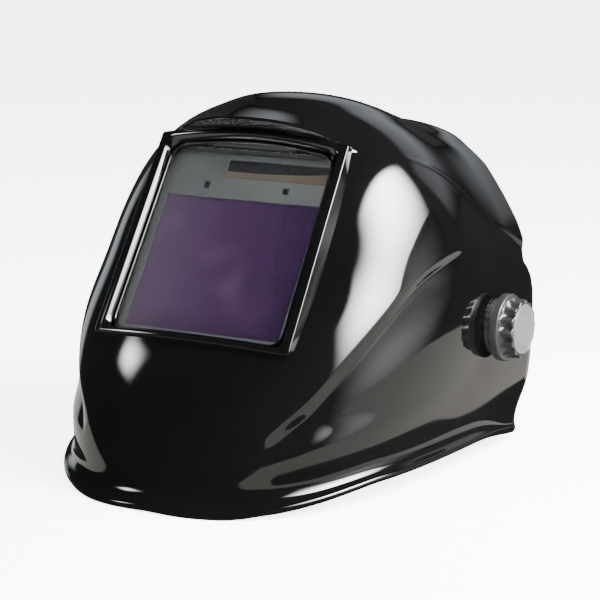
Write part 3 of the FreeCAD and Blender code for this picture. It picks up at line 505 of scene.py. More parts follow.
# Rows run from the lower edge up over the crown, and each has its place at these
# stations: the middle, the window's side, the cheek, the front and the rear of the
# crease, the side, the pivot and the rear rim.
ROWS = (
    # lower edge
    ((0, -158, 0), (38, -150.5, 0), (49, -146, 0.5), (57, -141.3, 1.5),
     (62.5, -137, 2), (94, -82, 10), (106, 15, 11.5), (106, 73, 3)),
    # root of the lip
    ((0, -154.5, 16), (38, -147.5, 16), (48, -144, 16.5), (56.5, -140.5, 17.5),
     (62, -136.5, 18), (95, -78, 26), (107, 17, 27), (108, 76, 19)),
    # lower tip of the crease
    ((0, -149, 35), (37, -145, 35), (47, -143, 35), (55.3, -140, 34.4),
     (59.5, -137, 31), (96, -76, 42), (110, 19, 45), (111, 86, 37)),
    # chin
    ((0, -138, 60), (50, -132, 61), (64, -126.5, 61.5), (75.6, -118.8, 61.4),
     (78.5, -115, 57), (101, -66, 59), (112, 21, 62), (112, 88, 58)),
    # foot of the window
    ((0, -121, 86), (63, -116, 84), (76, -107, 85), (87, -97, 82.5),
     (89.8, -92.5, 78), (104.5, -54, 75), (112.5, 24, 77), (112, 88.5, 76)),
    # lower window
    ((0, -99, 113), (64, -93, 113), (82, -84, 110), (95.3, -74, 100.5),
     (97.6, -69.5, 96), (107.5, -38, 92), (112.5, 29, 90), (112, 88, 89)),
    # upper window
    ((0, -76, 152), (64, -69, 150), (87, -57, 141), (102.5, -42, 119.5),
     (104.2, -37.5, 114.8), (109.5, -12, 107), (112.3, 38, 100), (112, 86, 97)),
    # upper tip of the crease
    ((0, -62, 175), (63, -58, 168), (90, -36, 158), (106, 17, 131.5),
     (106.6, 20, 128.5), (109.5, 30, 119), (111.5, 55, 108), (111.7, 84.5, 100)),
    # head of the window, then the lower line of the shoulder's fold
    ((0, -52, 192), (61, -46, 187.5), (90, 5, 167), (103, 43, 138),
     (104, 46, 135), (106, 55, 128), (109.5, 68, 115), (111.3, 82, 103)),
    # upper line of the fold
    ((0, -47, 198), (60, -40, 189.5), (88, 9, 171), (102, 46, 142),
     (102.8, 49, 140), (104, 56, 136), (106.5, 68, 129), (108.3, 80.5, 121)),
    # front of the crown
    ((0, -32, 207.5), (57, -22, 197), (83, 16, 181), (97, 48, 155),
     (98, 51, 153), (99.5, 57, 149.5), (101.5, 67, 144), (103.5, 81, 139)),
    # crown
    ((0, -5, 210.5), (50, 8, 201), (75, 28, 188), (89, 50, 170),
     (90, 53, 168.5), (92, 58, 165.5), (94.5, 68, 160), (96, 83.5, 153)),
    # rear of the crown
    ((0, 40, 200.5), (38, 42, 196), (60, 50, 186), (76, 60, 175),
     (77.5, 62, 174), (80, 66, 171.5), (84, 75, 167), (87, 86, 160)),
    # rear edge over the head
    ((0, 101, 183), (30, 98, 180), (48, 95, 175.5), (62, 92, 171),
     (64, 91.5, 170.5), (68, 90.5, 168.5), (73, 89.5, 166.5), (79, 88.5, 163.5)),
)
CREASE_LOW, CREASE_HIGH = 2, 7
WINDOW_FOOT, WINDOW_HEAD = 4, 8
FOLD_TOP = 9
WINDOW_SIDE, CHEEK, CREASE_FRONT, CREASE_REAR, SIDE, ABOVE_PIVOT, RIM = 1, 2, 3, 4, 5, 6, 7

# Steps of the mesh from each row to the next and from each station to the next, and how
# they gather: above 1 towards the end, below -1 towards the start.
ROW_STEPS = (0, 7, 11, 11, 12, 15, 12, 12, 8, 10, 12, 14, 18)
STATION_STEPS = ((32, 1), (11, 1), (20, 1.8), (9, 1), (18, -1.6), (17, 1), (17, 1))

CREASE_DEPTH = 3.8
CREASE_EDGE = 0.45
NOTCH_DEPTH = 2.4
SHOULDER_RISE = 0.9
BROW_RISE = 11.5
BROW_REACH = 30
BROW_HALF_WIDTH = 61

# The raised crest over the crown: its rise, the width of its edge, how round that edge
# is, its half width, and where it starts to run straight back.
CREST_RISE = 1.6
CREST_EDGE = 11
CREST_ROUND = 2.2
CREST_HALF_WIDTH = 50
CREST_FRONT = 72
CREST_START = 45


def gathered(steps, bend):
    share = np.arange(steps) / steps
    if bend > 1:
        return 1 - (1 - share) ** bend
    if bend < -1:
        return share ** -bend
    return share


def row_places():
    """Row numbers of the mesh's rows, from the lip's root to the rear edge."""
    parts = [k + gathered(steps, 1) for k, steps in enumerate(ROW_STEPS) if steps]
    return np.concatenate(parts + [[len(ROW_STEPS)]])


def station_places():
    """Station numbers of the mesh's columns, left rim to right rim."""
    parts = [k + gathered(steps, bend) for k, (steps, bend) in enumerate(STATION_STEPS)]
    half = np.concatenate(parts + [[len(STATION_STEPS)]])
    return np.concatenate([-half[:0:-1], half])


def net(rows, stations):
    """Points on the plain surface for every pair of a row number and a station number."""
    right = np.array(ROWS, float)
    left = right[:, :0:-1] * (-1, 1, 1)
    both = np.concatenate([left, right], axis=1)
    along = monotone(both, rows)
    across = monotone(np.swapaxes(along, 0, 1), stations + RIM)
    return on_surface(np.swapaxes(across, 0, 1))


def travel(points, axis, start):
    """Distance along the mesh's lines from the place numbered start, in mm."""
    gaps = np.linalg.norm(np.diff(points, axis=axis), axis=-1)
    total = np.insert(np.cumsum(gaps, axis=axis), 0, 0, axis=axis)
    return total - np.take(total, [start], axis=axis)


def column_travel(points, stations, start):
    """Distance out from station start, the same on both halves."""
    middle = len(stations) // 2
    right = travel(points[:, middle:], 1, int(np.searchsorted(stations[middle:], start - 1e-9)))
    return np.concatenate([right[:, :0:-1], right], axis=1)


def relief(points, rows, stations):
    """How far the moulding stands out from the plain surface, in mm."""
    row, station = rows[:, None], np.abs(stations)[None, :]

    behind = column_travel(points, stations, CREASE_FRONT)
    edge = column_travel(points, stations, CREASE_REAR)
    width = np.abs(behind - edge).min(axis=1, keepdims=True)
    width = np.maximum(width, 1.5)
    strength = smooth_step(CREASE_LOW - 0.1, CREASE_LOW + 0.75, row)
    strength = strength * (1 - smooth_step(CREASE_HIGH - 1.1, CREASE_HIGH + 0.1, row))
    recess = rounded_ramp(behind, width, CREASE_EDGE)
    recess = recess * (1 - smooth_step(CREASE_REAR + 0.1, ABOVE_PIVOT - 0.3, station))
    out = -CREASE_DEPTH * strength * recess

    head = int(np.searchsorted(rows, WINDOW_HEAD - 1e-9))
    top = int(np.searchsorted(rows, FOLD_TOP - 1e-9))
    above = travel(points, 0, head)
    fold = np.abs(above[top : top + 1])
    share = above / np.maximum(fold, 1)
    scoop = smooth_step(0.0, 0.3, share) * (1 - smooth_step(0.6, 1.05, share))
    out -= NOTCH_DEPTH * scoop * smooth_step(CREASE_FRONT + 0.2, RIM - 0.4, station)
    line = smooth_step(WINDOW_SIDE + 0.4, CHEEK + 0.1, station)
    line = line * (1 - smooth_step(CREASE_REAR, SIDE, station))
    out += SHOULDER_RISE * line * np.exp(-((share - 0.5) ** 2) * 9)

    x, y = np.abs(points[..., 0]), points[..., 1]
    ahead = np.abs(np.minimum(y - CREST_START, 0) / CREST_FRONT)
    front = (np.abs(x / CREST_HALF_WIDTH) ** 2.5 + ahead ** 2.5) ** 0.4
    inside = (1 - front) * CREST_HALF_WIDTH + np.clip(y - CREST_START, 0, None) * 0.22
    out += CREST_RISE * rounded_ramp(inside + 5, CREST_EDGE, CREST_ROUND) * (above > 0)

    bow = np.clip(1 - (points[..., 0] / BROW_HALF_WIDTH) ** 2, 0, 1) ** 0.85
    fall = np.clip(1 - above / BROW_REACH, 0, 1) ** 2.4
    out += BROW_RISE * bow * fall * (above >= -1e-6) * (station <= WINDOW_SIDE + 1e-6)
    return out


# Section of the flared lip, from its root down, round the bead and up to the inner wall:
# how far out of the surface, and how high above the lower edge.
LIP_SECTION = (
    (0.0, 16), (0.15, 13.4), (0.7, 10.9), (1.8, 8.6), (3.5, 6.6), (5.4, 5.3), (6.9, 4.3),
    (7.5, 3.0), (7.3, 1.5), (6.2, 0.5), (4.6, 0.2), (2.6, 0.9), (0.4, 2.2), (-1.6, 4.2),
    (-2.4, 8.0), (-2.4, 12.0),
)
LIP_STEPS = 30
LIP_HEIGHT = 16


def lip_rows(stations):
    """Rows of points down the lip's outside, round its bead and up its inside."""
    places = np.linspace(0, len(LIP_SECTION) - 1, LIP_STEPS)[1:]
    section = monotone(LIP_SECTION, places)
    flare = 1 - 0.62 * smooth_step(SIDE, RIM, np.abs(stations))
    made = []
    for out, height in section:
        foot = net(np.array([height / LIP_HEIGHT]), stations)[0]
        away = outward(foot)
        away[:, 2] = 0
        away /= np.linalg.norm(away, axis=-1, keepdims=True)
        share = flare if out > 0 else np.ones_like(flare)
        made.append(foot + away * (out * share)[:, None])
    return np.array(made)


# ---------------------------------------------------------------- the window surround

WINDOW_LEAN = math.radians(56.2)
WINDOW_MIDDLE = PIVOT + (0, -120, 44)
WINDOW_UP = np.array((0, math.cos(WINDOW_LEAN), math.sin(WINDOW_LEAN)))
WINDOW_OUT = np.array((0, -math.sin(WINDOW_LEAN), math.cos(WINDOW_LEAN)))

# Loops of the surround from its outer edge inwards: half width at the foot and at the
# head, lower and upper edge, corner radius, arch of the head, and depth below the face.
SURROUND = (
    (63.1, 61.3, -50.2, 76.2, 1.2, 2.9, 0.5),
    (63.0, 61.2, -50.1, 76.1, 1.3, 2.9, 0.15),
    (62.6, 60.8, -49.8, 75.8, 1.4, 2.9, 0.0),
    (60.0, 58.4, -48.3, 74.4, 3.0, 3.2, 0.0),
    (58.4, 56.8, -47.2, 72.9, 4.2, 3.5, 0.1),
    (57.8, 56.2, -46.8, 72.4, 4.8, 3.6, 0.5),
    (56.4, 54.6, -46.2, 70.8, 6.0, 4.0, 3.8),
    (56.2, 54.4, -46.0, 70.5, 6.2, 4.0, 4.4),
    (56.1, 54.3, -45.9, 70.4, 6.2, 4.0, 6.2),
    (55.6, 53.6, -45.6, 69.8, 6.8, 4.1, 6.4),
    (55.5, 53.5, -45.5, 69.7, 6.8, 4.1, 4.4),
    (55.2, 53.2, -45.3, 69.4, 7.0, 4.2, 3.9),
    (54.6, 52.6, -44.9, 68.8, 7.4, 4.3, 3.9),
    (54.3, 52.3, -44.7, 68.5, 7.6, 4.4, 4.3),
)
# The face stands out of the window's plane by FACE_CORNER at its sides, and by
# FACE_CROWN more in the middle.
FACE_CORNER, FACE_CROWN = 9.6, 4.2
FACE_HALF_WIDTH = 62
# The shares of the way from the skin to the surround at which loops are laid.
SOFT_SHARES = (0.06, 0.16, 0.38, 0.62, 0.9)
POCKET = (57.6, 57.6, -46.6, 71.6, 2.0, 0.0)
POCKET_FACE, POCKET_DEEP = 5.6, -3.0


def window_point(flat, depth):
    """Points given across, up and out of the window's plane."""
    return WINDOW_MIDDLE + np.stack([flat[:, 0], 0 * depth, 0 * depth], -1) + (
        flat[:, 1:2] * WINDOW_UP + depth[:, None] * WINDOW_OUT
    )


def loop(sides, shares, low, high, foot, head, radius, arch):
    """A four-sided outline with round corners; sides 0 to 3 are foot, right, head, left."""
    corners = np.array(((-low, foot), (low, foot), (high, head), (-high, head)), float)
    flat = np.zeros((len(sides), 2))
    for k, (side, share) in enumerate(zip(sides, shares)):
        start, end = corners[side], corners[(side + 1) % 4]
        length = np.linalg.norm(end - start)
        near_start = share < 0.5
        corner = start if near_start else end
        along = (end - start) / length * (1 if near_start else -1)
        gap = (share if near_start else 1 - share) * length
        other = corners[(side - 1) % 4] - start if near_start else corners[(side + 2) % 4] - end
        other = other / np.linalg.norm(other)
        point = corner + along * gap
        if gap < radius:
            turn = math.radians(45) * (1 - gap / radius)
            point = corner + radius * (along + other)
            point = point - radius * (other * math.cos(turn) + along * math.sin(turn))
        flat[k] = point
    half = (foot + head) / 2
    lift = np.clip((flat[:, 1] - half) / (head - half), 0, 1) ** 4
    flat[:, 1] += arch * (1 - (flat[:, 0] / high) ** 2) * lift
    return flat


def surround_loops(boundary, sides):
    """Loops from the skin's opening in to the pocket behind the surround."""
    away = boundary - WINDOW_MIDDLE
    flat = np.stack([away[:, 0], away @ WINDOW_UP], -1)
    shares = np.zeros(len(sides))
    for side in range(4):
        chosen = np.flatnonzero(sides == side)
        following = (chosen[-1] + 1) % len(sides)
        axis = 0 if side in (0, 2) else 1
        first, last = flat[chosen[0], axis], flat[following, axis]
        shares[chosen] = (flat[chosen, axis] - first) / (last - first)
    made = []
    for low, high, foot, head, radius, arch, depth in SURROUND:
        outline = loop(sides, shares, low, high, foot, head, radius, arch)
        face = FACE_CORNER + FACE_CROWN * (1 - (outline[:, 0] / FACE_HALF_WIDTH) ** 2)
        made.append(window_point(outline, face - depth))
    first = made[0]
    softened = [boundary + (first - boundary) * share for share in SOFT_SHARES]
    last = loop(sides, shares, *SURROUND[-1][:6])
    back = [window_point(last, np.full(len(sides), POCKET_FACE))]
    wall = loop(sides, shares, *POCKET)
    for depth in (POCKET_FACE, POCKET_DEEP):
        back.append(window_point(wall, np.full(len(sides), depth)))
    return softened + made + back


# ---------------------------------------------------------------- the shell


def shell():
    """The whole moulding as one closed mesh: skin, surround, lip, rims and inside."""
    rows, stations = row_places(), station_places()
    plain = net(rows, stations)
    skin = plain + outward(plain) * relief(plain, rows, stations)[..., None]
    lip = lip_rows(stations)

    slope_up = np.gradient(skin, axis=0)
    slope_along = np.gradient(skin, axis=1)
    normal = np.cross(slope_along, slope_up)
    normal /= np.linalg.norm(normal, axis=-1, keepdims=True)
    normal *= np.sign((normal * outward(plain)).sum(-1, keepdims=True))
    inside = skin - normal * WALL
    inside[0] = lip[-1] * 0.5 + inside[0] * 0.5

    points, index = [], {}

    def add(name, block):
        start = sum(len(p) for p in points)
        points.append(block.reshape(-1, 3))
        index[name] = np.arange(start, start + block[..., 0].size).reshape(block.shape[:-1])

    add("skin", skin)
    add("lip", lip)
    add("inside", inside)

    foot = int(np.searchsorted(rows, WINDOW_FOOT - 1e-9))
    head = int(np.searchsorted(rows, WINDOW_HEAD - 1e-9))
    left = int(np.searchsorted(stations, -WINDOW_SIDE - 1e-9))
    right = int(np.searchsorted(stations, WINDOW_SIDE - 1e-9))

    def opening(grid):
        sides = (
            grid[foot, left:right],
            grid[foot:head, right],
            grid[head, right:left:-1],
            grid[head:foot:-1, left],
        )
        return np.concatenate(sides)

    faces = []

    def skin_faces(grid, flip):
        faces.extend(grid_faces(grid[: foot + 1], flip))
        faces.extend(grid_faces(grid[head:], flip))
        faces.extend(grid_faces(grid[foot : head + 1, : left + 1], flip))
        faces.extend(grid_faces(grid[foot : head + 1, right:], flip))

    skin_faces(index["skin"], False)
    skin_faces(index["inside"], True)
    band = np.concatenate([index["skin"][:1], index["lip"], index["inside"][:1]])
    faces.extend(grid_faces(band, True))

    ring = opening(index["skin"])
    sides = np.repeat(range(4), [right - left, head - foot, right - left, head - foot])
    flat_points = np.concatenate(points)
    loops = surround_loops(flat_points[ring], sides)
    chain = [ring]
    for number, block in enumerate(loops):
        add(f"loop {number}", block)
        chain.append(index[f"loop {number}"])
    chain.append(opening(index["inside"]))
    closed = np.array([np.append(c, c[0]) for c in chain])
    faces.extend(grid_faces(closed, False))

    # the rear edge: half-round from the skin over to the inside, then end caps on the lip
    def rim(outer, inner, flip):
        a, b = flat_points[outer], flat_points[inner]
        middle, half = (a + b) / 2, (a - b) / 2
        along = np.gradient(middle, axis=0)
        out = np.cross(along, half)
        out /= np.linalg.norm(out, axis=-1, keepdims=True)
        out *= (-1 if flip else 1) * np.linalg.norm(half, axis=-1, keepdims=True)
        strip = [outer]
        for turn in np.radians((30, 60, 90, 120, 150)):
            block = middle + half * math.cos(turn) + out * math.sin(turn)
            name = f"rim {len(index)}"
            add(name, block)
            strip.append(index[name])
        strip.append(inner)
        faces.extend(grid_faces(np.array(strip), flip))
        return strip

    rim(index["skin"][:, -1], index["inside"][:, -1], True)
    rim(index["skin"][:, 0], index["inside"][:, 0], False)
    rim(index["skin"][-1, :], index["inside"][-1, :], False)
    for side, turned in ((-1, False), (0, True)):
        cap = [int(i) for i in band[:, side]]
        faces.append(tuple(cap[::-1] if turned else cap))

    sharp = []
    for side in (0, 1, 3):
        for k in np.flatnonzero(sides == side):
            sharp.append((int(ring[k]), int(ring[(k + 1) % len(ring)])))
    piece = new_piece(
        "shell_moulding", np.concatenate(points), faces, "shell_body",
        FINISHES["shell"], sharp,
    )
    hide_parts("helmet_shell")


# ---------------------------------------------------------------- tension knobs

KNOB_FLUTES = 14


def turned_piece(name, side, profile, finish, body, flute=None, around_steps=168):
    """A piece turned about the pivot axis; profile is (distance out, radius) pairs.

    flute(radius, distance, angle) may reshape the radius around the piece.
    """
    turn = np.linspace(0, 2 * math.pi, around_steps, endpoint=False)
    points = []
    for out, radius in profile:
        radii = np.full(around_steps, float(radius))
        if flute is not None:
            radii = flute(radii, out, turn)
        ring = np.stack(
            [np.full(around_steps, side * out), PIVOT[1] + radii * np.cos(turn),
             PIVOT[2] + radii * np.sin(turn)], -1,
        )
        points.append(ring)
    count = len(points)
    index = np.arange(count * around_steps).reshape(count, around_steps)
    closed = np.concatenate([index, index[:, :1]], axis=1)
    faces = grid_faces(closed, side < 0)
    return new_piece(name, np.concatenate(points), faces, body, finish)


def bead(out, radius, size, start, end, steps=5):
    """Points round a corner of that size; angles in degrees from straight out."""
    turn = np.radians(np.linspace(start, end, steps))
    return [(out + size * math.cos(a), radius + size * math.sin(a)) for a in turn]


def scallops(radii, out, turn):
    """Deep rounded scallops round the grip, shallower towards its face."""
    strength = smooth_step(122.6, 124.2, out) * (1 - 0.55 * smooth_step(128.5, 130.6, out))
    wave = np.abs(np.sin(turn * KNOB_FLUTES / 2))
    hollow = 1 - (1 - wave**1.6) ** 0.75
    grip = np.where(radii > 15.6, 1.0, 0.0)
    return radii - 3.1 * strength * hollow * grip


def knob(side, label):
    body = f"knob_{label}"
    grip_profile = (
        [(116.8, 13.0), (116.8, 17.8)]
        + bead(117.6, 18.9, 0.8, 180, 90)
        + [(120.6, 19.7)]
        + bead(121.4, 18.9, 0.8, 90, 0)
        + [(122.3, 17.9), (122.5, 17.4), (123.4, 17.3), (125.5, 17.3), (128.4, 17.2)]
        + bead(129.6, 16.2, 0.9, 80, 15)
        + [(130.7, 15.4), (130.7, 15.1), (129.4, 15.0), (129.0, 14.9), (129.0, 9)]
        + [(122.0, 9), (118, 9), (117.2, 12.6)]
    )
    grip = turned_piece(
        f"grip_{label}", side, grip_profile, FINISHES["knob"], body, scallops
    )
    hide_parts(f"tension_knob_{label}")
    cap_profile = (
        [(129.1, 0.05), (129.1, 14.2)]
        + bead(130.2, 13.9, 0.7, 90, 0)
        + [(130.9, 13.1), (130.5, 12.7), (130.35, 12.3), (130.45, 11.9)]
        + [(130.75, 11.5), (130.95, 8.0), (131.05, 4.0), (131.1, 0.05)]
    )
    cap = turned_piece(f"cap_{label}", side, cap_profile, FINISHES["cap"], body)
    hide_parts(f"knob_cap_{label}")


def washer(side, label):
    def facets(radii, out, turn):
        """Faintly faceted rim, as on a gripped washer."""
        edge = np.where(radii > 15, 1.0, 0.0)
        return radii - 0.5 * edge * (1 - np.cos(turn * 24)) / 2

    profile = (
        [(112.1, 8.4), (112.1, 15.4)]
        + bead(113.0, 15.6, 0.9, 180, 90)
        + [(113.9, 16.5), (114.3, 16.1), (114.7, 16.1), (115.1, 16.5)]
        + bead(115.6, 15.7, 0.8, 90, 0)
        + [(116.4, 14.9), (116.4, 12.4), (115.9, 12.0), (115.9, 8.4), (112.1, 8.4)]
    )
    made = turned_piece(
        f"washer_{label}", side, profile, FINISHES["black"],
        body_of_node(f"outer_washer_{label}"), facets, 192,
    )
    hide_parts(f"outer_washer_{label}")


# ---------------------------------------------------------------- soft pads


PAD_GRID = 3.2
PAD_PRESSURE = 2.5
PAD_STIFFNESS = 25
PAD_BENDING = 2
PAD_FRAMES = 12
PAD_RELAXING = 6


def pad(node, name, finish, limit):
    """A foam pad: the CAD solid remeshed, blown up by cloth simulation and smoothed.

    No point moves further than limit in the simulation.
    """
    source = frame["nodes"][node]
    mesh = source.data.copy()
    piece = bpy.data.objects.new(name, mesh)
    bpy.context.scene.collection.objects.link(piece)
    bpy.context.view_layer.objects.active = piece
    shrink = piece.modifiers.new("join", "WELD")
    shrink.merge_threshold = WELD_GAP * MM
    remesh = piece.modifiers.new("remesh", "REMESH")
    remesh.mode = "VOXEL"
    remesh.voxel_size = PAD_GRID * MM
    settle(piece)
    cloth = piece.modifiers.new("cloth", "CLOTH")
    cloth.settings.use_pressure = True
    cloth.settings.uniform_pressure_force = PAD_PRESSURE
    cloth.settings.effector_weights.gravity = 0
    cloth.settings.tension_stiffness = PAD_STIFFNESS
    cloth.settings.bending_stiffness = PAD_BENDING
    rest = positions(piece.data)
    for step in range(1, PAD_FRAMES + 1):
        bpy.context.scene.frame_set(step)
    settle(piece)
    moved = positions(piece.data) - rest
    far = np.linalg.norm(moved, axis=1, keepdims=True)
    moved *= np.minimum(1, limit * MM / np.maximum(far, 1e-9))
    piece.data.vertices.foreach_set("co", (rest + moved).astype(np.float32).ravel())
    bpy.context.scene.frame_set(1)
    relax = piece.modifiers.new("relax", "SMOOTH")
    relax.iterations = PAD_RELAXING
    relax.factor = 0.5
    settle(piece)
    piece.data.materials.clear()
    piece.data.materials.append(finish)
    piece.data.shade_smooth()
    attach(piece, body_of_node(node))
    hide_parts(node)


def positions(mesh):
    flat = np.zeros(len(mesh.vertices) * 3, np.float32)
    mesh.vertices.foreach_get("co", flat)
    return flat.reshape(-1, 3).astype(float)


def settle(piece):
    """Applies the piece's modifiers to its mesh."""
    graph = bpy.context.evaluated_depsgraph_get()
    graph.update()
    mesh = bpy.data.meshes.new_from_object(piece.evaluated_get(graph))
    piece.modifiers.clear()
    piece.data = mesh


# ---------------------------------------------------------------- assembly

shell()
for side, label in ((1, "left"), (-1, "right")):
    knob(side, label)
    washer(side, label)

for node, slot, finish, round_over in (
    ("front_cover_lens", "clear_lens", "cover", 0.3),
    ("lens_seal", "seal_rubber", "rubber", 0.3),
    ("filter_housing_front", "housing_plastic", "housing", 0.5),
    ("filter_housing_rear", "black_plastic", "black", 0.6),
    ("lcd_filter", "filter_glass", "filter", 0.15),
    ("solar_cell", "solar_glass", "solar", 0.15),
    ("arc_sensors", "sensor_glass", "sensor", 0.2),
    ("circuit_board", "circuit", "circuit", 0.1),
    ("batteries", "cell_steel", "cell", 0.4),
    ("inner_cover_lens", "clear_lens", "cover", 0.2),
    ("battery_cap_left", "grey_plastic", "grey", 0.4),
    ("battery_cap_right", "grey_plastic", "grey", 0.4),
    ("shade_dial", "grey_plastic", "grey", 0.3),
    ("sensitivity_dial", "grey_plastic", "grey", 0.3),
    ("delay_dial", "grey_plastic", "grey", 0.3),
    ("grind_switch", "marker_red", "red", 0.3),
    ("test_button", "marker_red", "red", 0.3),
    ("retaining_frame", "black_plastic", "black", 0.5),
    ("frame_latch_left", "grey_plastic", "grey", 0.5),
    ("frame_latch_right", "grey_plastic", "grey", 0.5),
    ("friction_washer_left", "washer_nylon", "nylon", 0.2),
    ("friction_washer_right", "washer_nylon", "nylon", 0.2),
    ("pivot_bolt_left", "bolt_steel", "steel", 0.3),
    ("pivot_bolt_right", "bolt_steel", "steel", 0.3),
    ("knob_nut_left", "brass", "brass", 0.3),
    ("knob_nut_right", "brass", "brass", 0.3),
    ("side_arm_left", "band_plastic", "band", 0.6),
    ("side_arm_right", "band_plastic", "band", 0.6),
    ("slide_block_left", "band_plastic", "band", 0.6),
    ("slide_block_right", "band_plastic", "band", 0.6),
    ("tilt_stop", "black_plastic", "black", 0.4),
    ("arm_spacer", "black_plastic", "black", 0.4),
    ("headband", "band_plastic", "band", 0.6),
    ("band_rivets", "black_plastic", "black", 0.4),
    ("crown_strap_front", "band_plastic", "band", 0.5),
    ("crown_strap_rear", "band_plastic", "band", 0.5),
    ("crown_pegs", "black_plastic", "black", 0.4),
    ("rack_strap_left", "band_plastic", "band", 0.25),
    ("rack_strap_right", "band_plastic", "band", 0.25),
    ("ratchet_base", "black_plastic", "black", 0.4),
    ("ratchet_cover", "black_plastic", "black", 0.6),
    ("ratchet_knob", "black_plastic", "knob", 0.6),
    ("ratchet_pinion", "black_plastic", "black", 0.1),
):
    refined(node, FINISHES[finish], round_over)

pad("brow_pad", "brow_cushion", FINISHES["cloth"], 2.0)
pad("rear_pad", "rear_cushion", FINISHES["foam"], 1.5)


# ---------------------------------------------------------------- studio

VIEW_AZIMUTH, VIEW_ELEVATION = 30, 11.5
VIEW_TARGET = (39.3, -66.6, 102.9)
VIEW_DISTANCE = 1200
LENS = 129
LIT_PLACE = (0, -30, 100)
TABLE_EDGE = ((-1500, -1500), (1500, -1500), (1500, 400), (-1500, 400))
TABLE_OPENING = ((-150, -210), (150, -210), (150, 200), (-150, 200))


def direction(azimuth, elevation):
    """The way from the object towards a bearing; azimuth 0 is the front, 90 is +x."""
    a, e = math.radians(azimuth), math.radians(elevation)
    return Vector((math.sin(a) * math.cos(e), -math.cos(a) * math.cos(e), math.sin(e)))


def camera():
    data = bpy.data.cameras.new("camera")
    data.lens = LENS
    data.sensor_width = 36
    data.clip_start, data.clip_end = 0.05, 60
    made = bpy.data.objects.new("camera", data)
    bpy.context.scene.collection.objects.link(made)
    back = direction(VIEW_AZIMUTH, VIEW_ELEVATION)
    made.location = (Vector(VIEW_TARGET) + back * VIEW_DISTANCE) * MM
    made.rotation_euler = (-back).to_track_quat("-Z", "Y").to_euler()
    bpy.context.scene.camera = made


def softbox(name, azimuth, elevation, distance, width, height, power, fades, tint=(1, 1, 1)):
    """A glowing panel, unseen by the camera.

    fades are the shares of its size over which it fades in from its sides, foot and head.
    """
    mesh = bpy.data.meshes.new(name)
    w, h = width / 2 * MM, height / 2 * MM
    mesh.from_pydata([(-w, -h, 0), (w, -h, 0), (w, h, 0), (-w, h, 0)], [], [(0, 1, 2, 3)])
    panel = bpy.data.objects.new(name, mesh)
    bpy.context.scene.collection.objects.link(panel)
    way = direction(azimuth, elevation)
    panel.location = (Vector(LIT_PLACE) + way * distance) * MM
    panel.rotation_euler = way.to_track_quat("Z", "Y").to_euler()
    panel.visible_camera = False
    panel.visible_shadow = False
    glow = bpy.data.materials.new(name)
    glow.use_nodes = True
    nodes, links = glow.node_tree.nodes, glow.node_tree.links
    nodes.clear()
    place = nodes.new("ShaderNodeTexCoord")
    split = nodes.new("ShaderNodeSeparateXYZ")
    links.new(place.outputs["Generated"], split.inputs["Vector"])
    level = None
    sides, foot, head = fades
    edges = (("X", 0, sides), ("X", 1, 1 - sides), ("Y", 0, foot), ("Y", 1, 1 - head))
    for axis, start, end in edges:
        fade = nodes.new("ShaderNodeMapRange")
        fade.interpolation_type = "SMOOTHSTEP"
        fade.inputs["From Min"].default_value = start
        fade.inputs["From Max"].default_value = end
        links.new(split.outputs[axis], fade.inputs["Value"])
        if level is None:
            level = fade.outputs["Result"]
        else:
            product = nodes.new("ShaderNodeMath")
            product.operation = "MULTIPLY"
            links.new(level, product.inputs[0])
            links.new(fade.outputs["Result"], product.inputs[1])
            level = product.outputs[0]
    strength = nodes.new("ShaderNodeMath")
    strength.operation = "MULTIPLY"
    strength.inputs[1].default_value = power
    links.new(level, strength.inputs[0])
    light = nodes.new("ShaderNodeEmission")
    light.inputs["Color"].default_value = (*tint, 1)
    links.new(strength.outputs[0], light.inputs["Strength"])
    out = nodes.new("ShaderNodeOutputMaterial")
    links.new(light.outputs["Emission"], out.inputs["Surface"])
    mesh.materials.append(glow)


def floor():
    """A pale floor, unseen in the gloss, which reflects the lit table top instead."""
    mesh = bpy.data.meshes.new("floor")
    wide = 9.0
    corners = [(-wide, -wide, 0), (wide, -wide, 0), (wide, wide, 0), (-wide, wide, 0)]
    mesh.from_pydata(corners, [], [(0, 1, 2, 3)])
    table = bpy.data.objects.new("floor", mesh)
    bpy.context.scene.collection.objects.link(table)
    table.location = (0, 0, cad_box[0].z - 0.0002)
    f = Finish("pale_table", 0.7)
    f.colours(f.noise(3, 3), (0.3, (0.66, 0.655, 0.65)), (0.7, (0.7, 0.695, 0.69)))
    f.shader.inputs["Emission Color"].default_value = (1, 0.998, 0.99, 1)
    f.shader.inputs["Emission Strength"].default_value = 5.0
    mesh.materials.append(f.material)
    table.visible_glossy = False


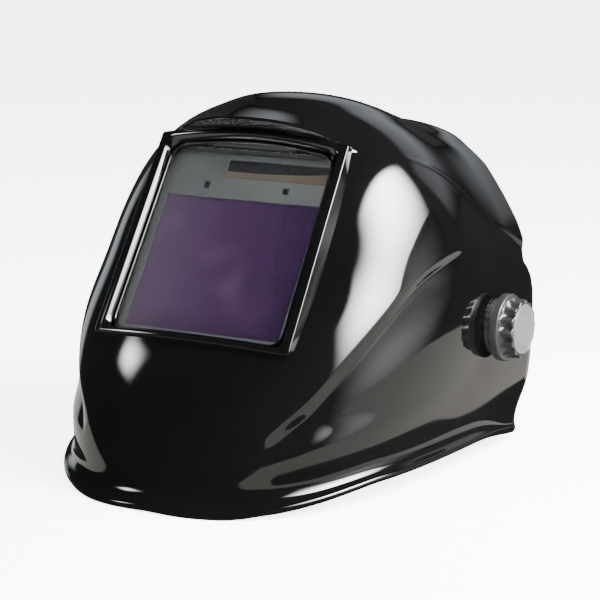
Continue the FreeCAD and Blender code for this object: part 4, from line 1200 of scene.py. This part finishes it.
def table_glow():
    """The lit table top as the gloss sees it: dark under the object, and not far behind it."""
    mesh = bpy.data.meshes.new("table_glow")
    corners = [(x * MM, y * MM, 0) for x, y in TABLE_EDGE + TABLE_OPENING]
    mesh.from_pydata(corners, [], [(k, (k + 1) % 4, (k + 1) % 4 + 4, k + 4) for k in range(4)])
    glow = bpy.data.objects.new("table_glow", mesh)
    bpy.context.scene.collection.objects.link(glow)
    glow.location = (0, 0, cad_box[0].z - 0.0004)
    shine = bpy.data.materials.new("table_glow")
    shine.use_nodes = True
    nodes = shine.node_tree.nodes
    nodes.clear()
    light = nodes.new("ShaderNodeEmission")
    light.inputs["Color"].default_value = (1, 0.965, 0.88, 1)
    light.inputs["Strength"].default_value = 1.35
    out = nodes.new("ShaderNodeOutputMaterial")
    shine.node_tree.links.new(light.outputs["Emission"], out.inputs["Surface"])
    mesh.materials.append(shine)
    glow.visible_camera = False
    glow.visible_diffuse = False
    glow.visible_transmission = False
    glow.visible_shadow = False


def world():
    """White to the camera, and dim in reflections and as fill."""
    made = bpy.data.worlds.new("studio")
    made.use_nodes = True
    nodes, links = made.node_tree.nodes, made.node_tree.links
    nodes.clear()
    seen = nodes.new("ShaderNodeLightPath")
    mix = nodes.new("ShaderNodeMixShader")
    dim = nodes.new("ShaderNodeBackground")
    dim.inputs["Color"].default_value = (0.92, 0.96, 1, 1)
    dim.inputs["Strength"].default_value = 0.06
    white = nodes.new("ShaderNodeBackground")
    white.inputs["Strength"].default_value = 7.0
    out = nodes.new("ShaderNodeOutputWorld")
    links.new(seen.outputs["Is Camera Ray"], mix.inputs["Fac"])
    links.new(dim.outputs["Background"], mix.inputs[1])
    links.new(white.outputs["Background"], mix.inputs[2])
    links.new(mix.outputs["Shader"], out.inputs["Surface"])
    bpy.context.scene.world = made


def lamp(name, azimuth, elevation, distance, size, watts):
    """A broad soft lamp that lights the table and the object."""
    data = bpy.data.lights.new(name, "AREA")
    data.shape = "DISK"
    data.size = size * MM
    data.energy = watts
    made = bpy.data.objects.new(name, data)
    bpy.context.scene.collection.objects.link(made)
    way = direction(azimuth, elevation)
    made.location = (Vector(LIT_PLACE) + way * distance) * MM
    made.rotation_euler = way.to_track_quat("Z", "Y").to_euler()
    made.visible_glossy = False
    made.visible_camera = False


world()
floor()
softbox("key_box", 94, 31, 1000, 1300, 860, 120, (0.5, 0.7, 0.14))
softbox("key_skirt", 100, 4, 1000, 1300, 760, 3.0, (0.5, 0.5, 0.5))
softbox("chin_box", -52, 30, 1000, 230, 240, 40, (0.5, 0.5, 0.5))
softbox("rear_box", 180, 27, 1400, 1900, 820, 0.8, (0.12, 0.35, 0.3), (0.9, 0.95, 1.0))
softbox("left_box", -108, 4, 1200, 420, 700, 1.8, (0.35, 0.35, 0.35), (0.88, 0.94, 1.0))
table_glow()
lamp("top_lamp", 20, 82, 1900, 1500, 60)
lamp("front_lamp", 10, 38, 2200, 1400, 30)
camera()
